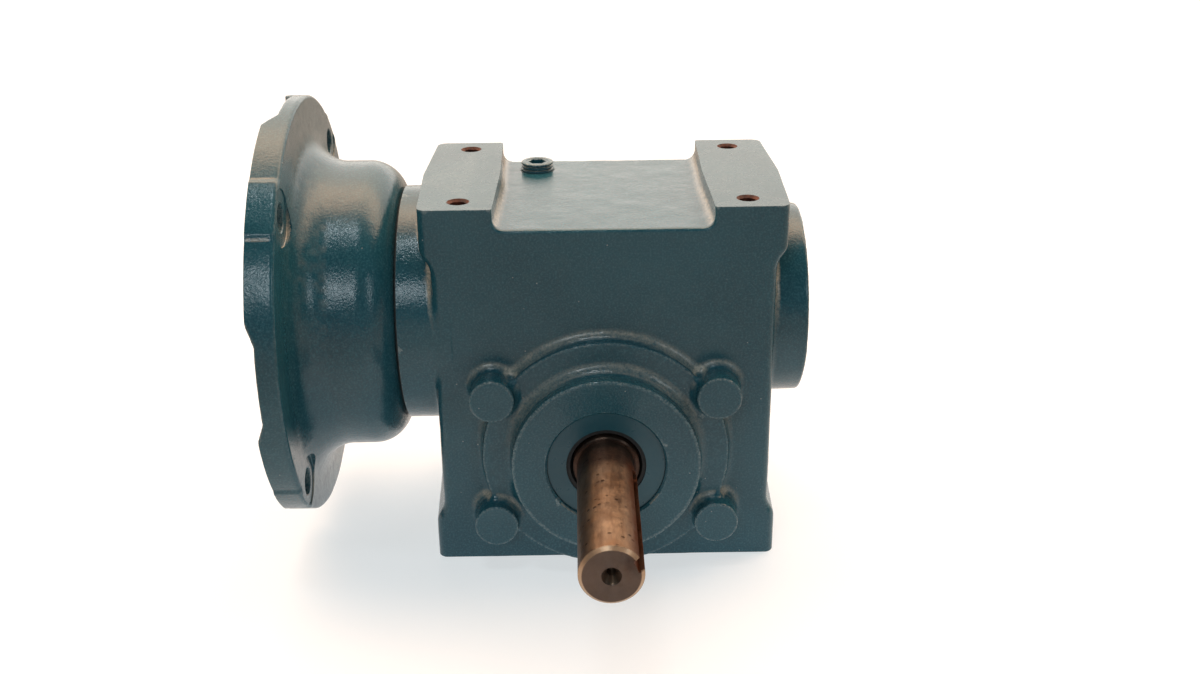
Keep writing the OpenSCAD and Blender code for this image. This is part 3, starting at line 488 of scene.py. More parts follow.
def make_housing():
    cell = CELL
    points, quads = skin(
        housing_field,
        grid_lines(-NECK_X - 2, TAIL_X, cell, [(-71, -62), (62, 71), (TAIL_X - 2, TAIL_X)], 0.6),
        grid_lines(-HUB_Y, BODY_D, cell, [(-HUB_Y, -42)], 0.5),
        grid_lines(-3, TOP_Z + 3, cell, [(RECESS_Z - 2, RECESS_Z + 1)], 0.5))
    made = quad_mesh_object("housing_casting", points, quads)
    thin_out(made, quads, HOUSING_TRIANGLES)
    # Machined faces: pad tops, base, neck face and tail face
    cut(made,
        slab((-FAR, -FAR, TOP_Z), (FAR, FAR, FAR)),
        slab((-FAR, -FAR, -FAR), (FAR, FAR, 0)),
        slab((-FAR, -FAR, -FAR), (-NECK_X, FAR, FAR)),
        slab((TAIL_X, -FAR, -FAR), (FAR, FAR, FAR)))
    # Inside: cavity, then the bearing bosses are put back
    cut(made, cavity_cutter())
    cut(made,
        drill(INPUT_RACE_R + 6, -CAVITY_X - 2, -CAVITY_X + 5, ALONG_X, AT_WORM),
        drill(TAIL_RACE_R + 6, CAVITY_X - 5, CAVITY_X + 2, ALONG_X, AT_WORM),
        drill(FRONT_RACE_R + 6, -CAVITY_Y - 1, -CAVITY_Y + 4.5, ALONG_Y, AT_OUTPUT),
        how="UNION")
    tail_r, ring_r = TAIL_RACE_R + SEAT_GAP, TAIL_RACE_R + 1.4
    tail_bore = [(0, tail_race_low[0] - 0.2), (tail_r, tail_race_low[0] - 0.2), (tail_r, cap_low[0] - 1.9),
                 (ring_r, cap_low[0] - 1.9), (ring_r, cap_low[0] - 0.2), (tail_r, cap_low[0] - 0.2),
                 (tail_r, TAIL_X - 0.9), (TAIL_RACE_R + 1.2, TAIL_X + 0.3),
                 (TAIL_RACE_R + 1.2, TAIL_X + 4), (0, TAIL_X + 4)]
    seal_r = OUTPUT_SEAL_R
    seal_bore = [(0, -HUB_Y - 2), (seal_r + 0.9, -HUB_Y - 2), (seal_r + 0.9, -HUB_Y - 0.01),
                 (seal_r + 0.14, -HUB_Y + 0.75), (seal_r + 0.14, seal_high[1]), (0, seal_high[1])]
    cut(made,
        drill(INPUT_RACE_R + SEAT_GAP, -NECK_X - 2, input_race_high[0], ALONG_X, AT_WORM, 128),
        drill(INPUT_RACE_R - 4.5, -NECK_X, -CAVITY_X + 8, ALONG_X, AT_WORM),
        turned("cutter", tail_bore, ALONG_X, AT_WORM, 128),
        drill(TAIL_RACE_R - 4.5, CAVITY_X - 6, CAVITY_X + 14, ALONG_X, AT_WORM),
        drill(FRONT_RACE_R + SEAT_GAP, front_race_low[1], front_race_low[1] + 20, ALONG_Y, AT_OUTPUT, 128),
        turned("cutter", seal_bore, ALONG_Y, AT_OUTPUT, 128),
        drill(seal_r - 2.2, seal_low[1], seal_low[1] + 12, ALONG_Y, AT_OUTPUT),
        drill(PILOT_R + 0.05, CAVITY_Y - 1, CAVITY_Y + 11, ALONG_Y, AT_OUTPUT, 128))
    for sx, sz in quarters():
        at_boss = (sx * BOSS_X, BODY_D, OUTPUT_Z + sz * BOSS_Z)
        cut(made, drill(SCREW_R + SEAT_GAP, -17, 3, ALONG_Y, at_boss, 32))
        cut(made, threaded(PAD_HOLE_R, PAD_HOLE_L, UPRIGHT, (sx * HOLE_X, sz * HOLE_Y, TOP_Z)))
        cut(made, threaded(BASE_HOLE_R, BASE_HOLE_L, UPSIDE_DOWN, (sx * HOLE_X, sz * HOLE_Y, 0)))
        a = math.radians(45 * (2 + sx) if sz > 0 else -45 * (2 + sx))
        at_screw = (0, SCREW_CIRCLE_R * math.cos(a), WORM_Z + SCREW_CIRCLE_R * math.sin(a))
        cut(made, drill(SCREW_R + SEAT_GAP, -NECK_X - 2, -NECK_X + 18, ALONG_X, at_screw, 32))
    plug_r, mouth_r = PLUG_R + 0.03, PLUG_R + 0.8
    filler_hole = [(0, CAVITY_HIGH - 1), (plug_r, CAVITY_HIGH - 1), (plug_r, RECESS_Z - 0.6),
                   (mouth_r, RECESS_Z + 0.2), (mouth_r, TOP_Z + 5), (0, TOP_Z + 5)]
    cut(made,
        turned("cutter", filler_hole, UPRIGHT, (*PLUG_XY, 0), 64),
        drill(plug_r, -2, CAVITY_LOW + 1, UPRIGHT, (*DRAIN_XY, 0)),
        drill(plug_r, CAVITY_Y - 1, BODY_D + 3, ALONG_Y, (LEVEL_X, 0, LEVEL_Z)))
    return finish_casting(made)


def cavity_cutter():
    """Box with rounded corners, the inside of the housing."""
    outline = []
    for cx, cz, start in ((1, -1, -90), (1, 1, 0), (-1, 1, 90), (-1, -1, 180)):
        x0 = cx * (CAVITY_X - CAVITY_R)
        z0 = CAVITY_HIGH - CAVITY_R if cz > 0 else CAVITY_LOW + CAVITY_R
        outline += [(x0 + CAVITY_R * math.cos(math.radians(start + 90 * i / 8)),
                     z0 + CAVITY_R * math.sin(math.radians(start + 90 * i / 8))) for i in range(9)]
    n = len(outline)
    points = [(x, -CAVITY_Y, z) for x, z in outline] + [(x, CAVITY_Y, z) for x, z in outline]
    faces = [[n + i, n + (i + 1) % n, (i + 1) % n, i] for i in range(n)]
    faces += [list(range(n)), list(range(n, 2 * n))[::-1]]
    return mesh_object("cutter", points, faces, smooth=False)


# ---------------------------------------------------------------- motor adapter and rear cover castings


def make_adapter():
    cell = CELL
    points, quads = skin(
        adapter_field,
        grid_lines(-MOTOR_X - 2, -NECK_X, cell, [(-MOTOR_X - 1, -MOTOR_X + FLANGE_T + 3)], 0.6),
        grid_lines(-FLANGE_R - 1, FLANGE_R + 1, cell),
        grid_lines(WORM_Z - FLANGE_R - 1, WORM_Z + FLANGE_R + 1, cell))
    made = quad_mesh_object("motor_adapter_casting", points, quads)
    thin_out(made, quads, ADAPTER_TRIANGLES)
    cut(made, slab((-FAR, -FAR, -FAR), (-MOTOR_X, FAR, FAR)))
    # Spigot that centres the adapter in the housing
    spigot = drill(INPUT_RACE_R - SEAT_GAP, -BELL_END - 1, -NECK_X + 4.2, ALONG_X, AT_WORM, 128)
    cut(made, spigot, how="UNION")
    fillet = [(BELL_BORE_R - 4 + 4 * math.cos(math.radians(a)), WEB_X + 4 + 4 * math.sin(math.radians(a)))
              for a in (-90, -68, -45, -22, 0)]
    floor = WEB_X - 1.5
    bore = [(0, NECK_X - 6), (26, NECK_X - 6), (26, NECK_X - 2), (22, NECK_X - 1), (22, floor - INPUT_SEAL_W),
            (INPUT_SEAL_R + SEAT_GAP, floor - INPUT_SEAL_W), (INPUT_SEAL_R + SEAT_GAP, WEB_X - 0.7),
            (INPUT_SEAL_R + 0.8, WEB_X)]
    bore += fillet
    bore += [(BELL_BORE_R, MOTOR_X - REGISTER_L), (REGISTER_R, MOTOR_X - REGISTER_L),
             (REGISTER_R, MOTOR_X - 0.5), (REGISTER_R + 0.9, MOTOR_X + 0.4), (REGISTER_R + 0.9, MOTOR_X + 4),
             (0, MOTOR_X + 4)]
    cut(made, turned("cutter", bore, ALONG_MINUS_X, AT_WORM, 160))
    back = MOTOR_X - FLANGE_T
    motor_hole = [(0, back - 12), (SPOT_FACE_R + 0.3, back - 12), (SPOT_FACE_R + 0.3, back + 0.1),
                  (SPOT_FACE_R, back + SPOT_FACE_L), (BOLT_R + 0.4, back + SPOT_FACE_L),
                  (BOLT_R, back + SPOT_FACE_L + 0.4), (BOLT_R, MOTOR_X - 0.5),
                  (BOLT_R + 0.8, MOTOR_X + 0.3), (BOLT_R + 0.8, MOTOR_X + 3), (0, MOTOR_X + 3)]
    for i in range(4):
        a = math.radians(45 + 90 * i)
        y, z = BOLT_CIRCLE_R * math.cos(a), WORM_Z + BOLT_CIRCLE_R * math.sin(a)
        cut(made, turned("cutter", motor_hole, ALONG_MINUS_X, (0, y, z), 64))
        y, z = SCREW_CIRCLE_R * math.cos(a), WORM_Z + SCREW_CIRCLE_R * math.sin(a)
        cut(made, drill(SCREW_R + DRILL_GAP, NECK_X - 3, WEB_X + 3, ALONG_MINUS_X, (0, y, z), 40))
    return finish_casting(made)


def make_cover():
    reach_x, reach_z = BOSS_X + EAR_R, max(COVER_R, BOSS_Z + EAR_R)
    cell = COVER_CELL
    points, quads = skin(
        cover_field,
        grid_lines(-reach_x, reach_x, cell),
        grid_lines(COVER_Y - 3, HUB_Y, cell),
        grid_lines(OUTPUT_Z - reach_z, OUTPUT_Z + reach_z, cell))
    made = quad_mesh_object("output_cover_casting", points, quads)
    start, end = rear_race_low[1] - 1, rear_race_high[1]
    cut(made, slab((-FAR, -FAR, -FAR), (FAR, COVER_Y, FAR)))
    pilot = [(0, start), (REAR_RACE_R + 5, start), (REAR_RACE_R + 5, CAVITY_Y), (PILOT_R, CAVITY_Y),
             (PILOT_R, COVER_Y + 1), (0, COVER_Y + 1)]
    cut(made, turned("cutter", pilot, ALONG_Y, AT_OUTPUT, 128), how="UNION")
    cut(made,
        drill(REAR_RACE_R + SEAT_GAP, start - 1, end + 0.6, ALONG_Y, AT_OUTPUT, 128),
        drill(REAR_RACE_R - 4, start, end + 3.6, ALONG_Y, AT_OUTPUT))
    for sx, sz in quarters():
        at_ear = (sx * BOSS_X, 0, OUTPUT_Z + sz * BOSS_Z)
        cut(made, drill(SCREW_R + DRILL_GAP, COVER_Y - 2, COVER_Y + COVER_T + 2, ALONG_Y, at_ear, 40))
    return finish_casting(made)


# ---------------------------------------------------------------- plugs with turned threads


def make_pipe_plug(name, node, depth, groove_rows, turn, top):
    """Socket pipe plug with chamfered rim, threads and a hexagonal socket.

    Its top is at z = 0 until it is turned and moved to its place.
    """
    pitch, rim = 1.41, 0.55
    r, groove_r = PLUG_R, PLUG_R - 0.55
    rows = [(0, -depth), (r - 1.0, -depth), (r - 0.2, -depth + 0.9), (r, -groove_rows * pitch - 0.9)]
    for i in range(groove_rows):
        h = (i - groove_rows) * pitch - rim
        rows += [(r, h + 0.22), (groove_r, h + 0.56), (groove_r - 0.05, h + 0.66), (groove_r, h + 0.76),
                 (r, h + 1.10)]
    rows += [(r, -rim), (r - 0.18, -0.2), (r - 0.62, 0), (4.55, 0), (4.2, -0.25), (0, -0.25)]
    made = turned(name, rows, steps=80)
    cut(made, drill(3.67, -4.5, 2, steps=6))
    place(made, turn, top)
    mesh = made.data
    mesh.polygons.foreach_set("use_smooth", [True] * len(mesh.polygons))
    mesh.set_sharp_from_angle(angle=math.radians(35))
    edge = made.modifiers.new("edge", "BEVEL")
    edge.width = 0.12 * MM
    edge.segments = 2
    edge.limit_method = "ANGLE"
    edge.angle_limit = math.radians(40)
    edge.harden_normals = True
    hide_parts(node)
    return settle(made)


# ---------------------------------------------------------------- finishes


class Finish:
    """A procedural material: one Principled shader, and textures in object coordinates, in metres."""

    def __init__(self, name, roughness=0.4, metallic=0.0):
        self.material = bpy.data.materials.new(name)
        self.material.use_nodes = True
        self.tree = self.material.node_tree
        self.shader = next(n for n in self.tree.nodes if n.type == "BSDF_PRINCIPLED")
        self.shader.inputs["Roughness"].default_value = roughness
        self.shader.inputs["Metallic"].default_value = metallic
        self.place = self.node("ShaderNodeTexCoord").outputs["Object"]
        self.height = None

    def node(self, kind, **settings):
        made = self.tree.nodes.new(kind)
        for key, value in settings.items():
            setattr(made, key, value)
        return made

    def link(self, source, target):
        self.tree.links.new(source, target)

    def feed(self, node, slot, value):
        """Links an output, or sets a plain value."""
        if hasattr(value, "is_output"):
            self.link(value, node.inputs[slot])
        else:
            node.inputs[slot].default_value = value

    def stretched(self, scale):
        """The place, with textures stretched along the axes of larger scale."""
        mapping = self.node("ShaderNodeMapping", vector_type="TEXTURE")
        self.link(self.place, mapping.inputs["Vector"])
        mapping.inputs["Scale"].default_value = scale
        return mapping.outputs["Vector"]

    def noise(self, size_mm, detail=3.0, rough=0.55, where=None):
        tex = self.node("ShaderNodeTexNoise")
        self.link(where or self.place, tex.inputs["Vector"])
        tex.inputs["Scale"].default_value = 1 / (size_mm * MM)
        tex.inputs["Detail"].default_value = detail
        tex.inputs["Roughness"].default_value = rough
        return tex.outputs["Fac"]

    def cells(self, size_mm):
        """Distance to the nearest of a set of scattered points."""
        tex = self.node("ShaderNodeTexVoronoi", feature="F1")
        self.link(self.place, tex.inputs["Vector"])
        tex.inputs["Scale"].default_value = 1 / (size_mm * MM)
        return tex.outputs["Distance"]

    def band(self, value, low, high, to_low=0.0, to_high=1.0):
        """Straight ramp from to_low at low to to_high at high."""
        made = self.node("ShaderNodeMapRange")
        self.feed(made, "Value", value)
        for slot, v in (("From Min", low), ("From Max", high), ("To Min", to_low), ("To Max", to_high)):
            made.inputs[slot].default_value = v
        return made.outputs["Result"]

    def math(self, operation, a, b=0.0):
        made = self.node("ShaderNodeMath", operation=operation)
        self.feed(made, 0, a)
        self.feed(made, 1, b)
        return made.outputs[0]

    def mix(self, share, a, b):
        made = self.node("ShaderNodeMix", data_type="RGBA")
        self.feed(made, 0, share)
        for slot, v in ((6, a), (7, b)):
            self.feed(made, slot, (*v, 1.0) if isinstance(v, tuple) else v)
        return made.outputs[2]

    def colour(self, source):
        self.link(source, self.shader.inputs["Base Color"])

    def rough(self, source):
        self.link(source, self.shader.inputs["Roughness"])

    def bump(self, source, depth_mm, strength=1.0):
        made = self.node("ShaderNodeBump")
        self.link(source, made.inputs["Height"])
        made.inputs["Distance"].default_value = depth_mm * MM
        made.inputs["Strength"].default_value = strength
        if self.height is not None:
            self.link(self.height, made.inputs["Normal"])
        self.height = made.outputs["Normal"]
        self.link(self.height, self.shader.inputs["Normal"])


PAINT = (0.014, 0.078, 0.104)
PAINT_DEEP = (0.009, 0.060, 0.082)
PAINT_WARM = (0.030, 0.088, 0.104)
PAINT_GRAIN = (0.040, 0.135, 0.165)
WORN_EDGE_AND_HIGHLIGHT = (0.34, 0.39, 0.38)
PRIMER = (0.36, 0.38, 0.36)
DUST_AND_HIGHLIGHT = (0.44, 0.39, 0.31)

OXIDE_DARK, OXIDE_LIGHT = (0.15, 0.098, 0.068), (0.31, 0.215, 0.145)
OXIDE_RED = (0.22, 0.125, 0.070)
SHAFT_SIDE_SHADE = (0.070, 0.050, 0.040)
OXIDE_AT_SEAL = (0.070, 0.040, 0.030)
SPECK = (0.035, 0.020, 0.014)
KEYWAY_RUST = (0.115, 0.034, 0.012)
CHAMFER_AND_HIGHLIGHT = (0.60, 0.42, 0.28)
SHAFT_END = (0.125, 0.092, 0.076)


def enamel(name, sand_depth, roughness=(0.14, 0.24), edge_wear_and_highlight=0.55):
    """Dark teal enamel. sand_depth is the depth of the cast skin under it, in millimetres."""
    f = Finish(name)
    tone = f.mix(f.band(f.noise(38, 4), 0.35, 0.68), PAINT_DEEP, PAINT)
    tone = f.mix(f.band(f.noise(7, 5, 0.65), 0.52, 0.80, 0.0, 0.5), tone, PAINT_WARM)
    tone = f.mix(f.band(f.noise(0.75, 2, 0.6), 0.46, 0.72, 0.0, min(1.0, sand_depth * 8)), tone, PAINT_GRAIN)
    if edge_wear_and_highlight:
        shape = f.node("ShaderNodeNewGeometry")
        # Convex edges lighter: wear, and a painted highlight along the edges
        edge_wear_highlight_mask = f.band(shape.outputs["Pointiness"], 0.526, 0.562, 0.0, edge_wear_and_highlight)
        edge_wear_highlight_mask = f.math("MULTIPLY", edge_wear_highlight_mask, f.band(f.noise(0.9, 4, 0.7), 0.42, 0.62, 0.15, 1.0))
        tone = f.mix(edge_wear_highlight_mask, tone, WORN_EDGE_AND_HIGHLIGHT)
        # Dust, and a painted warm highlight, lie in the hollows that face upward
        facing = f.node("ShaderNodeSeparateXYZ")
        f.link(shape.outputs["Normal"], facing.inputs[0])
        hollow = f.band(shape.outputs["Pointiness"], 0.497, 0.484)
        dust_and_highlight = f.math("MULTIPLY", hollow, f.band(facing.outputs[2], 0.02, 0.40))
        dust_and_highlight = f.math("MULTIPLY", dust_and_highlight, f.band(facing.outputs[2], 0.97, 0.78))
        dust_and_highlight = f.math("MULTIPLY", dust_and_highlight, f.band(f.noise(1.0, 4, 0.75), 0.36, 0.60, 0.35, 1.0))
        tone = f.mix(dust_and_highlight, tone, DUST_AND_HIGHLIGHT)
        # Small chips through to the primer
        flecks = f.math("MULTIPLY", f.band(f.cells(5.5), 0.060, 0.035), f.band(f.noise(13, 3), 0.52, 0.58))
        tone = f.mix(f.math("MULTIPLY", flecks, 0.7), tone, PRIMER)
    f.colour(tone)
    f.rough(f.band(f.noise(3, 4), 0.3, 0.72, *roughness))
    f.shader.inputs["IOR"].default_value = 1.5
    f.bump(f.noise(0.95, 2, 0.5), sand_depth, 1.0)
    f.bump(f.noise(0.45, 2, 0.6), sand_depth * 0.5, 1.0)
    f.bump(f.band(f.cells(2.3), 0.0, 0.30), sand_depth * 0.3, 0.5)
    return f.material


def bare_metal(name, colour, dark, roughness=(0.25, 0.42), lay=None, stain=0.35):
    """Machined or ground metal. lay is the axis that the tool marks run round, or None."""
    f = Finish(name, metallic=1.0)
    stains = f.band(f.noise(9, 5, 0.6), 0.48, 0.74, 0.0, stain)
    f.colour(f.mix(stains, colour, dark))
    f.rough(f.band(f.noise(4, 4), 0.3, 0.7, *roughness))
    if lay is not None:
        scale = [40.0, 40.0, 40.0]
        scale["XYZ".index(lay)] = 1.0
        f.bump(f.noise(0.35, 1, 0.5, f.stretched(scale)), 0.006, 1.0)
    f.bump(f.noise(0.9, 3), 0.012, 0.6)
    return f.material


def rusty(name):
    """Rust in a tapped hole."""
    f = Finish(name, roughness=0.7)
    tone = f.mix(f.band(f.noise(1.6, 4), 0.35, 0.66), (0.055, 0.013, 0.007), (0.16, 0.048, 0.022))
    tone = f.mix(f.band(f.noise(3.1, 3), 0.55, 0.75, 0.0, 0.8), tone, (0.018, 0.008, 0.006))
    f.colour(tone)
    f.rough(f.band(f.noise(1.1, 3), 0.3, 0.7, 0.55, 0.85))
    f.bump(f.noise(0.5, 3), 0.06, 0.8)
    return f.material


def oxidised_shaft(name):
    """Turned shaft with a bronze-brown oxide, dark specks, and rust along the keyway."""
    f = Finish(name, metallic=0.9)
    # Turning marks run round the shaft, so its reflections spread along it
    around = f.node("ShaderNodeTangent", direction_type="RADIAL", axis="Y")
    f.link(around.outputs[0], f.shader.inputs["Tangent"])
    f.shader.inputs["Anisotropic"].default_value = 0.85
    f.shader.inputs["Anisotropic Rotation"].default_value = 0.25
    along = f.stretched((1.0, 4.0, 1.0))
    streaks = f.noise(2.6, 4, 0.6, along)
    tone = f.mix(f.band(streaks, 0.30, 0.70), OXIDE_DARK, OXIDE_LIGHT)
    tone = f.mix(f.band(f.noise(8, 4), 0.45, 0.72, 0.0, 0.7), tone, OXIDE_RED)
    # Painted shade: the sides and underside darker than the top
    facing = f.node("ShaderNodeSeparateXYZ")
    f.link(f.node("ShaderNodeTexCoord").outputs["Normal"], facing.inputs[0])
    tone = f.mix(f.band(facing.outputs[2], 0.92, 0.30, 0.0, 0.75), tone, SHAFT_SIDE_SHADE)
    split = f.node("ShaderNodeSeparateXYZ")
    f.link(f.place, split.inputs[0])
    x, y, z = split.outputs
    # Darker on the length next to the seal
    near_seal = f.band(y, -0.0800, -0.0745)
    near_seal = f.math("MULTIPLY", near_seal, f.band(f.noise(1.5, 3), 0.2, 0.6, 0.55, 0.9))
    tone = f.mix(near_seal, tone, OXIDE_AT_SEAL)
    # Specks
    specks = f.band(f.cells(3.4), 0.24, 0.15)
    specks = f.math("MULTIPLY", specks, f.band(f.noise(11, 2), 0.42, 0.55))
    tone = f.mix(f.math("MULTIPLY", specks, 0.85), tone, SPECK)
    # Rust along the keyway: distance from the plane through the axis and the keyway
    lift = math.radians(KEYWAY_DEG)
    height = f.math("SUBTRACT", z, OUTPUT_Z * MM)
    out = f.math("ADD", f.math("MULTIPLY", x, math.cos(lift)), f.math("MULTIPLY", height, math.sin(lift)))
    aside = f.math("SUBTRACT", f.math("MULTIPLY", height, math.cos(lift)),
                   f.math("MULTIPLY", x, math.sin(lift)))
    wobble = f.math("MULTIPLY", f.math("SUBTRACT", f.noise(3.2, 3, 0.6, along), 0.5), 0.0045)
    off = f.math("ABSOLUTE", f.math("ADD", f.math("SUBTRACT", aside, 0.0006), wobble))
    beside = f.math("MULTIPLY", f.band(off, 0.0062, 0.0026), f.band(out, 0.004, 0.007))
    beside = f.math("MULTIPLY", beside, f.band(y, -0.066, -0.074))
    rust_share = f.math("MULTIPLY", beside, f.band(streaks, 0.30, 0.55, 0.35, 0.9))
    tone = f.mix(rust_share, tone, KEYWAY_RUST)
    # The turned chamfer at the tip is bare metal with a painted highlight, so brighter; the end face greyer
    reach = f.math("SQRT", f.math("ADD", f.math("POWER", x, 2.0), f.math("POWER", height, 2.0)))
    tip = f.math("MULTIPLY", f.band(y, -0.1340, -0.1345), f.band(reach, 0.0096, 0.0100))
    tone = f.mix(f.math("MULTIPLY", tip, 0.8), tone, CHAMFER_AND_HIGHLIGHT)
    face = f.math("MULTIPLY", f.band(y, -0.1352, -0.1354), f.band(reach, 0.0100, 0.0096))
    face = f.math("MULTIPLY", face, f.band(f.noise(2.4, 4, 0.6), 0.30, 0.60, 0.55, 1.0))
    tone = f.mix(face, tone, SHAFT_END)
    f.colour(tone)
    f.rough(f.math("ADD", f.band(f.noise(3, 4), 0.3, 0.7, 0.28, 0.42), f.math("MULTIPLY", beside, 0.22)))
    f.bump(f.noise(0.4, 1, 0.5, f.stretched((40.0, 1.0, 40.0))), 0.010, 0.8)
    f.bump(f.noise(1.2, 3), 0.03, 0.5)
    f.bump(f.math("SUBTRACT", 1.0, specks), 0.05, 0.7)
    return f.material


def matt(name, colour, dark, size_mm, depth_mm, roughness=(0.6, 0.85)):
    """Rubber and gasket sheet."""
    f = Finish(name)
    f.colour(f.mix(f.band(f.noise(size_mm, 4), 0.35, 0.65), dark, colour))
    f.rough(f.band(f.noise(size_mm * 0.5, 3), 0.3, 0.7, *roughness))
    f.bump(f.noise(size_mm * 0.3, 3), depth_mm, 0.8)
    return f.material


def dress(obj, *materials):
    """Gives an object its material slots."""
    obj.data.materials.clear()
    for m in materials:
        obj.data.materials.append(m)


def face_arrays(obj):
    """Centres in millimetres and normals of an object's faces."""
    mesh = obj.data
    n = len(mesh.polygons)
    centre, normal = np.empty(n * 3), np.empty(n * 3)
    mesh.polygons.foreach_get("center", centre)
    mesh.polygons.foreach_get("normal", normal)
    return centre.reshape(-1, 3) / MM, normal.reshape(-1, 3)


def choose_materials(obj, index):
    obj.data.polygons.foreach_set("material_index", index.astype(np.int32))
    obj.data.update()


cast_paint = enamel("painted_casting", 0.090)
smooth_paint = enamel("painted_machined", 0.006, (0.26, 0.31), 0.2)
part_paint = enamel("painted_steel", 0.006, (0.26, 0.36), 0)
plug_paint = enamel("painted_plug", 0.020, (0.20, 0.30), 1.0)
rust = rusty("rusty_thread")
machined_iron = bare_metal("machined_iron", (0.33, 0.33, 0.34), (0.16, 0.13, 0.11), (0.35, 0.55), "X")

# ---------------------------------------------------------------- pieces

# A face lies on a machined plane within ON_FACE millimetres, and points along its normal
ON_FACE, FACING = 0.05, 0.9

# Housing slots: 0 cast paint, 1 machined paint, 2 rust, 3 bare iron
housing = make_housing()
dress(housing, cast_paint, smooth_paint, rust, machined_iron)
c, n = face_arrays(housing)
pick = np.zeros(len(c))
pick[(c[:, 2] > TOP_Z - ON_FACE) & (n[:, 2] > FACING)] = 1
pick[(c[:, 0] > TAIL_X - ON_FACE) & (n[:, 0] > FACING)] = 1
r_worm, r_out = np.hypot(c[:, 1], c[:, 2] - WORM_Z), np.hypot(c[:, 0], c[:, 2] - OUTPUT_Z)
inside = (np.abs(c[:, 0]) < CAVITY_X + 0.5) & (np.abs(c[:, 1]) < CAVITY_Y + 0.5)
pick[inside & (c[:, 2] > CAVITY_LOW - 0.5) & (c[:, 2] < CAVITY_HIGH + 0.5)] = 3
pick[(r_worm < 32) & (c[:, 0] < -CAVITY_X + 6)] = 3
pick[(r_worm < 25.2) & (c[:, 0] > CAVITY_X - 6) & (c[:, 0] < cap_high[0])] = 3
pick[(r_out < PILOT_R + 0.5) & (c[:, 1] > -HUB_Y + 0.8) & (c[:, 1] < BODY_D - ON_FACE) & inside] = 3
pick[(c[:, 2] < ON_FACE) & (n[:, 2] < -FACING)] = 3
pick[(c[:, 0] < -NECK_X + ON_FACE) & (n[:, 0] < -FACING)] = 3
r_hole = np.hypot(np.abs(c[:, 0]) - HOLE_X, np.abs(c[:, 1]) - HOLE_Y)
in_hole = (r_hole < 4.6) & (np.abs(c[:, 2] - TOP_Z / 2) > TOP_Z / 2 - PAD_HOLE_L - 3)
pick[in_hole & (c[:, 2] < TOP_Z - ON_FACE) & (c[:, 2] > ON_FACE)] = 2
choose_materials(housing, pick)
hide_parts("housing")
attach(housing, "housing_body")

# Adapter and cover slots: 0 cast paint, 1 machined paint, 2 bare iron
adapter = make_adapter()
dress(adapter, cast_paint, smooth_paint, machined_iron)
c, n = face_arrays(adapter)
pick = np.zeros(len(c))
pick[(c[:, 0] < -MOTOR_X + ON_FACE) & (n[:, 0] < -FACING)] = 2
r_worm = np.hypot(c[:, 1], c[:, 2] - WORM_Z)
pick[(r_worm < REGISTER_R + 1) & (c[:, 0] < -MOTOR_X + REGISTER_L + 0.1)] = 2
pick[(r_worm < INPUT_SEAL_R + 1) & (c[:, 0] > -WEB_X - 0.1)] = 2
choose_materials(adapter, pick)
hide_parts("motor_adapter")
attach(adapter, "housing_body")

cover = make_cover()
dress(cover, cast_paint, smooth_paint, machined_iron)
c, n = face_arrays(cover)
pick = np.zeros(len(c))
pick[c[:, 1] < COVER_Y + ON_FACE] = 2
spot = np.hypot(np.abs(c[:, 0]) - BOSS_X, np.abs(c[:, 2] - OUTPUT_Z) - BOSS_Z)
pick[(spot < COVER_SPOT_R) & (n[:, 1] > FACING)] = 1
choose_materials(cover, pick)
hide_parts("output_cover")
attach(cover, "housing_body")

plugs = [
    make_pipe_plug("filler_plug_threaded", "filler_plug", plug_high[2] - plug_low[2], 3, UPRIGHT,
                   (*PLUG_XY, plug_high[2])),
    make_pipe_plug("drain_plug_threaded", "drain_plug", drain_high[2] - drain_low[2], 1, UPSIDE_DOWN,
                   (*DRAIN_XY, drain_low[2])),
    make_pipe_plug("level_plug_threaded", "level_plug", level_high[1] - level_low[1], 1, ALONG_Y,
                   (LEVEL_X, level_high[1], LEVEL_Z))]
for plug in plugs:
    dress(plug, plug_paint)
    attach(plug, "housing_body")

race = bare_metal("race_steel", (0.60, 0.61, 0.63), (0.36, 0.36, 0.37), (0.12, 0.25))
ball = bare_metal("ball_steel", (0.72, 0.73, 0.75), (0.52, 0.53, 0.55), (0.04, 0.10), stain=0.15)
brass = bare_metal("cage_brass", (0.70, 0.50, 0.20), (0.40, 0.25, 0.09), (0.25, 0.40))
finishes = {
    "output_shaft": oxidised_shaft("oxidised_shaft"),
    "worm_wheel_rim": bare_metal("bronze", (0.64, 0.40, 0.17), (0.35, 0.19, 0.08), (0.22, 0.38), "Y"),
    "worm_wheel_hub": bare_metal("bare_iron", (0.30, 0.30, 0.31), (0.14, 0.12, 0.11), (0.38, 0.55), "Y"),
    "wheel_key": bare_metal("key_steel", (0.52, 0.52, 0.54), (0.30, 0.29, 0.28), (0.30, 0.42), "Y"),
    "worm": bare_metal("worm_steel", (0.42, 0.42, 0.44), (0.20, 0.18, 0.16), (0.18, 0.36), "X"),
    "output_shims": bare_metal("shim_brass", (0.74, 0.56, 0.26), (0.44, 0.31, 0.13), (0.20, 0.34)),
    "input_retaining_ring": bare_metal("spring_steel", (0.13, 0.13, 0.14), (0.06, 0.055, 0.05), (0.35, 0.50)),
    "adapter_screws": bare_metal("black_steel", (0.055, 0.055, 0.06), (0.10, 0.06, 0.04), (0.35, 0.5),
                                 stain=0.25),
    "input_seal_case": bare_metal("seal_case_steel", (0.40, 0.41, 0.43), (0.22, 0.20, 0.18), (0.25, 0.40)),
    "output_seal_lip": matt("seal_rubber", (0.014, 0.013, 0.013), (0.008, 0.008, 0.008), 3.0, 0.02,
                            (0.65, 0.85)),
    "output_cover_gasket": matt("gasket", (0.040, 0.046, 0.046), (0.020, 0.024, 0.025), 1.2, 0.05),
    "output_seal_case": part_paint,
}
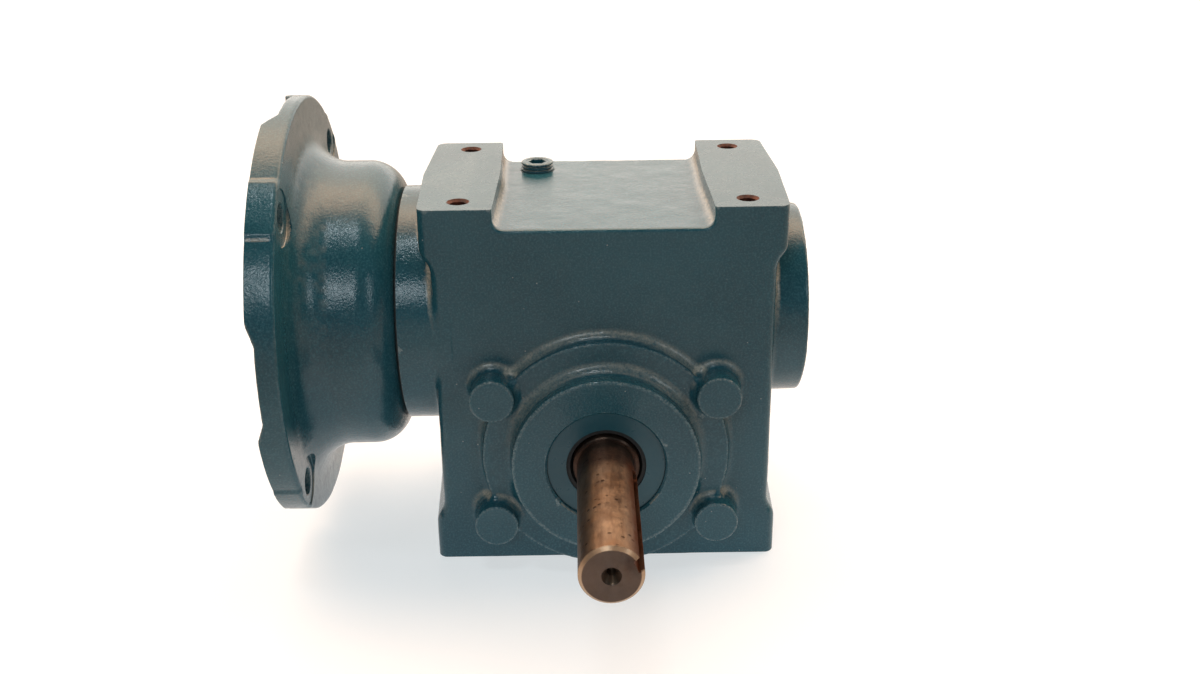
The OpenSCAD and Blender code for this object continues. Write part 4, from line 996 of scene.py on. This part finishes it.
same_as = {
    "output_cover_bolts": "output_seal_case", "output_cover_washers": "output_seal_case",
    "tail_end_cap": "output_seal_case", "wheel_spacer": "wheel_key",
    "tail_retaining_ring": "input_retaining_ring", "adapter_screw_washers": "input_retaining_ring",
    "input_seal_lip": "output_seal_lip", "adapter_gasket": "output_cover_gasket",
}
for node, other in same_as.items():
    finishes[node] = finishes[other]
for bearing in ("front", "rear", "input", "tail"):
    finishes[bearing + "_outer_race"] = finishes[bearing + "_inner_race"] = race
    finishes[bearing + "_balls"] = ball
    finishes[bearing + "_cage"] = brass
for node, finish in finishes.items():
    dress(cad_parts[node], finish)


def round_edges(node, width_mm):
    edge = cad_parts[node].modifiers.new("edge", "BEVEL")
    edge.width = width_mm * MM
    edge.segments = 2
    edge.limit_method = "ANGLE"
    edge.angle_limit = math.radians(35)
    edge.harden_normals = True


for node, width in (("output_cover_bolts", 0.35), ("tail_end_cap", 0.5), ("output_cover_washers", 0.15),
                    ("adapter_screws", 0.3)):
    round_edges(node, width)

# ---------------------------------------------------------------- floor, light and camera


def floor_material():
    """Pale lit table, near white to the camera.

    The object sees a dimmer floor with a pool of light round it.
    """
    f = Finish("pale_floor", roughness=0.75)
    grain = f.band(f.noise(60, 3), 0.3, 0.7, 0.985, 1.0)
    path = f.node("ShaderNodeLightPath").outputs["Is Camera Ray"]
    tone = f.mix(path, (0.28, 0.275, 0.27), (0.42, 0.42, 0.42))
    scaled = f.node("ShaderNodeVectorMath", operation="SCALE")
    f.link(tone, scaled.inputs[0])
    f.link(grain, scaled.inputs["Scale"])
    f.colour(scaled.outputs[0])
    far = f.node("ShaderNodeVectorMath", operation="LENGTH")
    f.link(f.place, far.inputs[0])
    pool = f.band(far.outputs["Value"], 0.12, 0.32, 0.60, 0.07)
    glow = f.node("ShaderNodeMix", data_type="FLOAT")
    f.feed(glow, 0, path)
    f.feed(glow, 2, pool)
    glow.inputs[3].default_value = 0.60
    f.shader.inputs["Emission Color"].default_value = (0.96, 0.99, 1.0, 1.0)
    f.link(glow.outputs[0], f.shader.inputs["Emission Strength"])
    return f.material


FLOOR_HALF = 12.0    # metres
corners = [(sx * FLOOR_HALF, sy * FLOOR_HALF, 0) for sx, sy in ((-1, -1), (1, -1), (1, 1), (-1, 1))]
floor_mesh = bpy.data.meshes.new("floor")
floor_mesh.from_pydata(corners, [], [(0, 1, 2, 3)])
floor = bpy.data.objects.new("floor", floor_mesh)
bpy.context.scene.collection.objects.link(floor)
floor.location.z = -0.05 * MM
dress(floor, floor_material())

world = bpy.data.worlds.new("studio")
bpy.context.scene.world = world
world.use_nodes = True
tree = world.node_tree
sky = tree.nodes["Background"]
SKY_PEAK, SIDE_SHARE = 8.0, 0.22
split = tree.nodes.new("ShaderNodeSeparateXYZ")
tree.links.new(tree.nodes.new("ShaderNodeTexCoord").outputs["Generated"], split.inputs[0])
# Angle from the back horizon over the top to the front, from 0 to 1
over = tree.nodes.new("ShaderNodeMath")
over.operation = "ARCTAN2"
tree.links.new(split.outputs[2], over.inputs[0])
tree.links.new(split.outputs[1], over.inputs[1])
share = tree.nodes.new("ShaderNodeMath")
share.operation = "DIVIDE"
tree.links.new(over.outputs[0], share.inputs[0])
share.inputs[1].default_value = math.pi
ramp = tree.nodes.new("ShaderNodeValToRGB")
tree.links.new(share.outputs[0], ramp.inputs[0])
tree.links.new(ramp.outputs[0], sky.inputs["Color"])
# Angle in degrees and radiance
SKY = ((0, (2.0, 1.82, 1.66)), (20, (1.80, 1.57, 1.43)), (45, (3.0, 2.45, 2.02)), (62, (6.2, 4.35, 3.0)),
       (76, (5.8, 3.95, 2.7)), (86, (1.2, 0.98, 0.82)), (94, (0.45, 0.42, 0.40)), (99, (0.09, 0.13, 0.15)),
       (130, (0.08, 0.13, 0.16)), (180, (0.17, 0.23, 0.26)))
# The backdrop ends at the sides
aside = tree.nodes.new("ShaderNodeMath")
aside.operation = "ABSOLUTE"
tree.links.new(split.outputs[0], aside.inputs[0])
fade = tree.nodes.new("ShaderNodeMapRange")
tree.links.new(aside.outputs[0], fade.inputs["Value"])
for slot, v in (("From Min", 0.60), ("From Max", 0.95),
                ("To Min", SKY_PEAK), ("To Max", SIDE_SHARE * SKY_PEAK)):
    fade.inputs[slot].default_value = v
tree.links.new(fade.outputs["Result"], sky.inputs["Strength"])
ramp.color_ramp.elements.remove(ramp.color_ramp.elements[1])
for angle, tone in SKY:
    stop = ramp.color_ramp.elements[0] if angle == 0 else ramp.color_ramp.elements.new(angle / 180)
    stop.color = (*(v / SKY_PEAK for v in tone), 1.0)

LIT_POINT = Vector((-0.02, 0.0, 0.08))
DAYLIGHT = (0.85, 0.95, 1.0)


def soft_light(name, over_deg, side_deg, across, along, radiance):
    """Area light, with its size in metres.

    over_deg goes from the back horizon over the top to the front; side_deg is to the right.
    """
    distance = 1.6
    over, side = math.radians(over_deg), math.radians(side_deg)
    direction = Vector((math.sin(side), math.cos(side) * math.cos(over), math.cos(side) * math.sin(over)))
    data = bpy.data.lights.new(name, "AREA")
    data.shape = "RECTANGLE"
    data.size, data.size_y = across, along
    data.color = DAYLIGHT
    data.energy = radiance * across * along * math.pi
    lamp = bpy.data.objects.new(name, data)
    lamp.location = LIT_POINT + direction * distance
    lamp.rotation_mode = "QUATERNION"
    lamp.rotation_quaternion = (-direction).to_track_quat("-Z", "Y")
    lamp.visible_camera = False
    bpy.context.scene.collection.objects.link(lamp)


soft_light("strip_above", 103, -8, 0.42, 0.05, 40.0)
soft_light("window_front", 149, -11, 0.36, 0.32, 8.0)
soft_light("window_right", 149, 40, 0.26, 0.32, 6.0)

# Camera at the photo's viewing angle
CAMERA_AT = Vector((-8.8, -514.5, 292.9)) * MM
CAMERA_RIGHT = Vector((0.9998, -0.0187, -0.0083))
CAMERA_FORWARD = Vector((0.0139, 0.9205, -0.3905))
LENS_MM = 40.93
camera_data = bpy.data.cameras.new("camera")
camera_data.sensor_width = 36.0
camera_data.sensor_fit = "HORIZONTAL"
camera_data.lens = LENS_MM
camera_data.clip_start, camera_data.clip_end = 0.02, 60.0
camera = bpy.data.objects.new("camera", camera_data)
forward = CAMERA_FORWARD.normalized()
right = (CAMERA_RIGHT - forward * CAMERA_RIGHT.dot(forward)).normalized()
up = right.cross(forward)
turn = Matrix((right, up, -forward)).transposed()
camera.matrix_world = Matrix.Translation(CAMERA_AT) @ turn.to_4x4()
bpy.context.scene.collection.objects.link(camera)
bpy.context.scene.camera = camera
bpy.context.scene.view_settings.view_transform = "Standard"
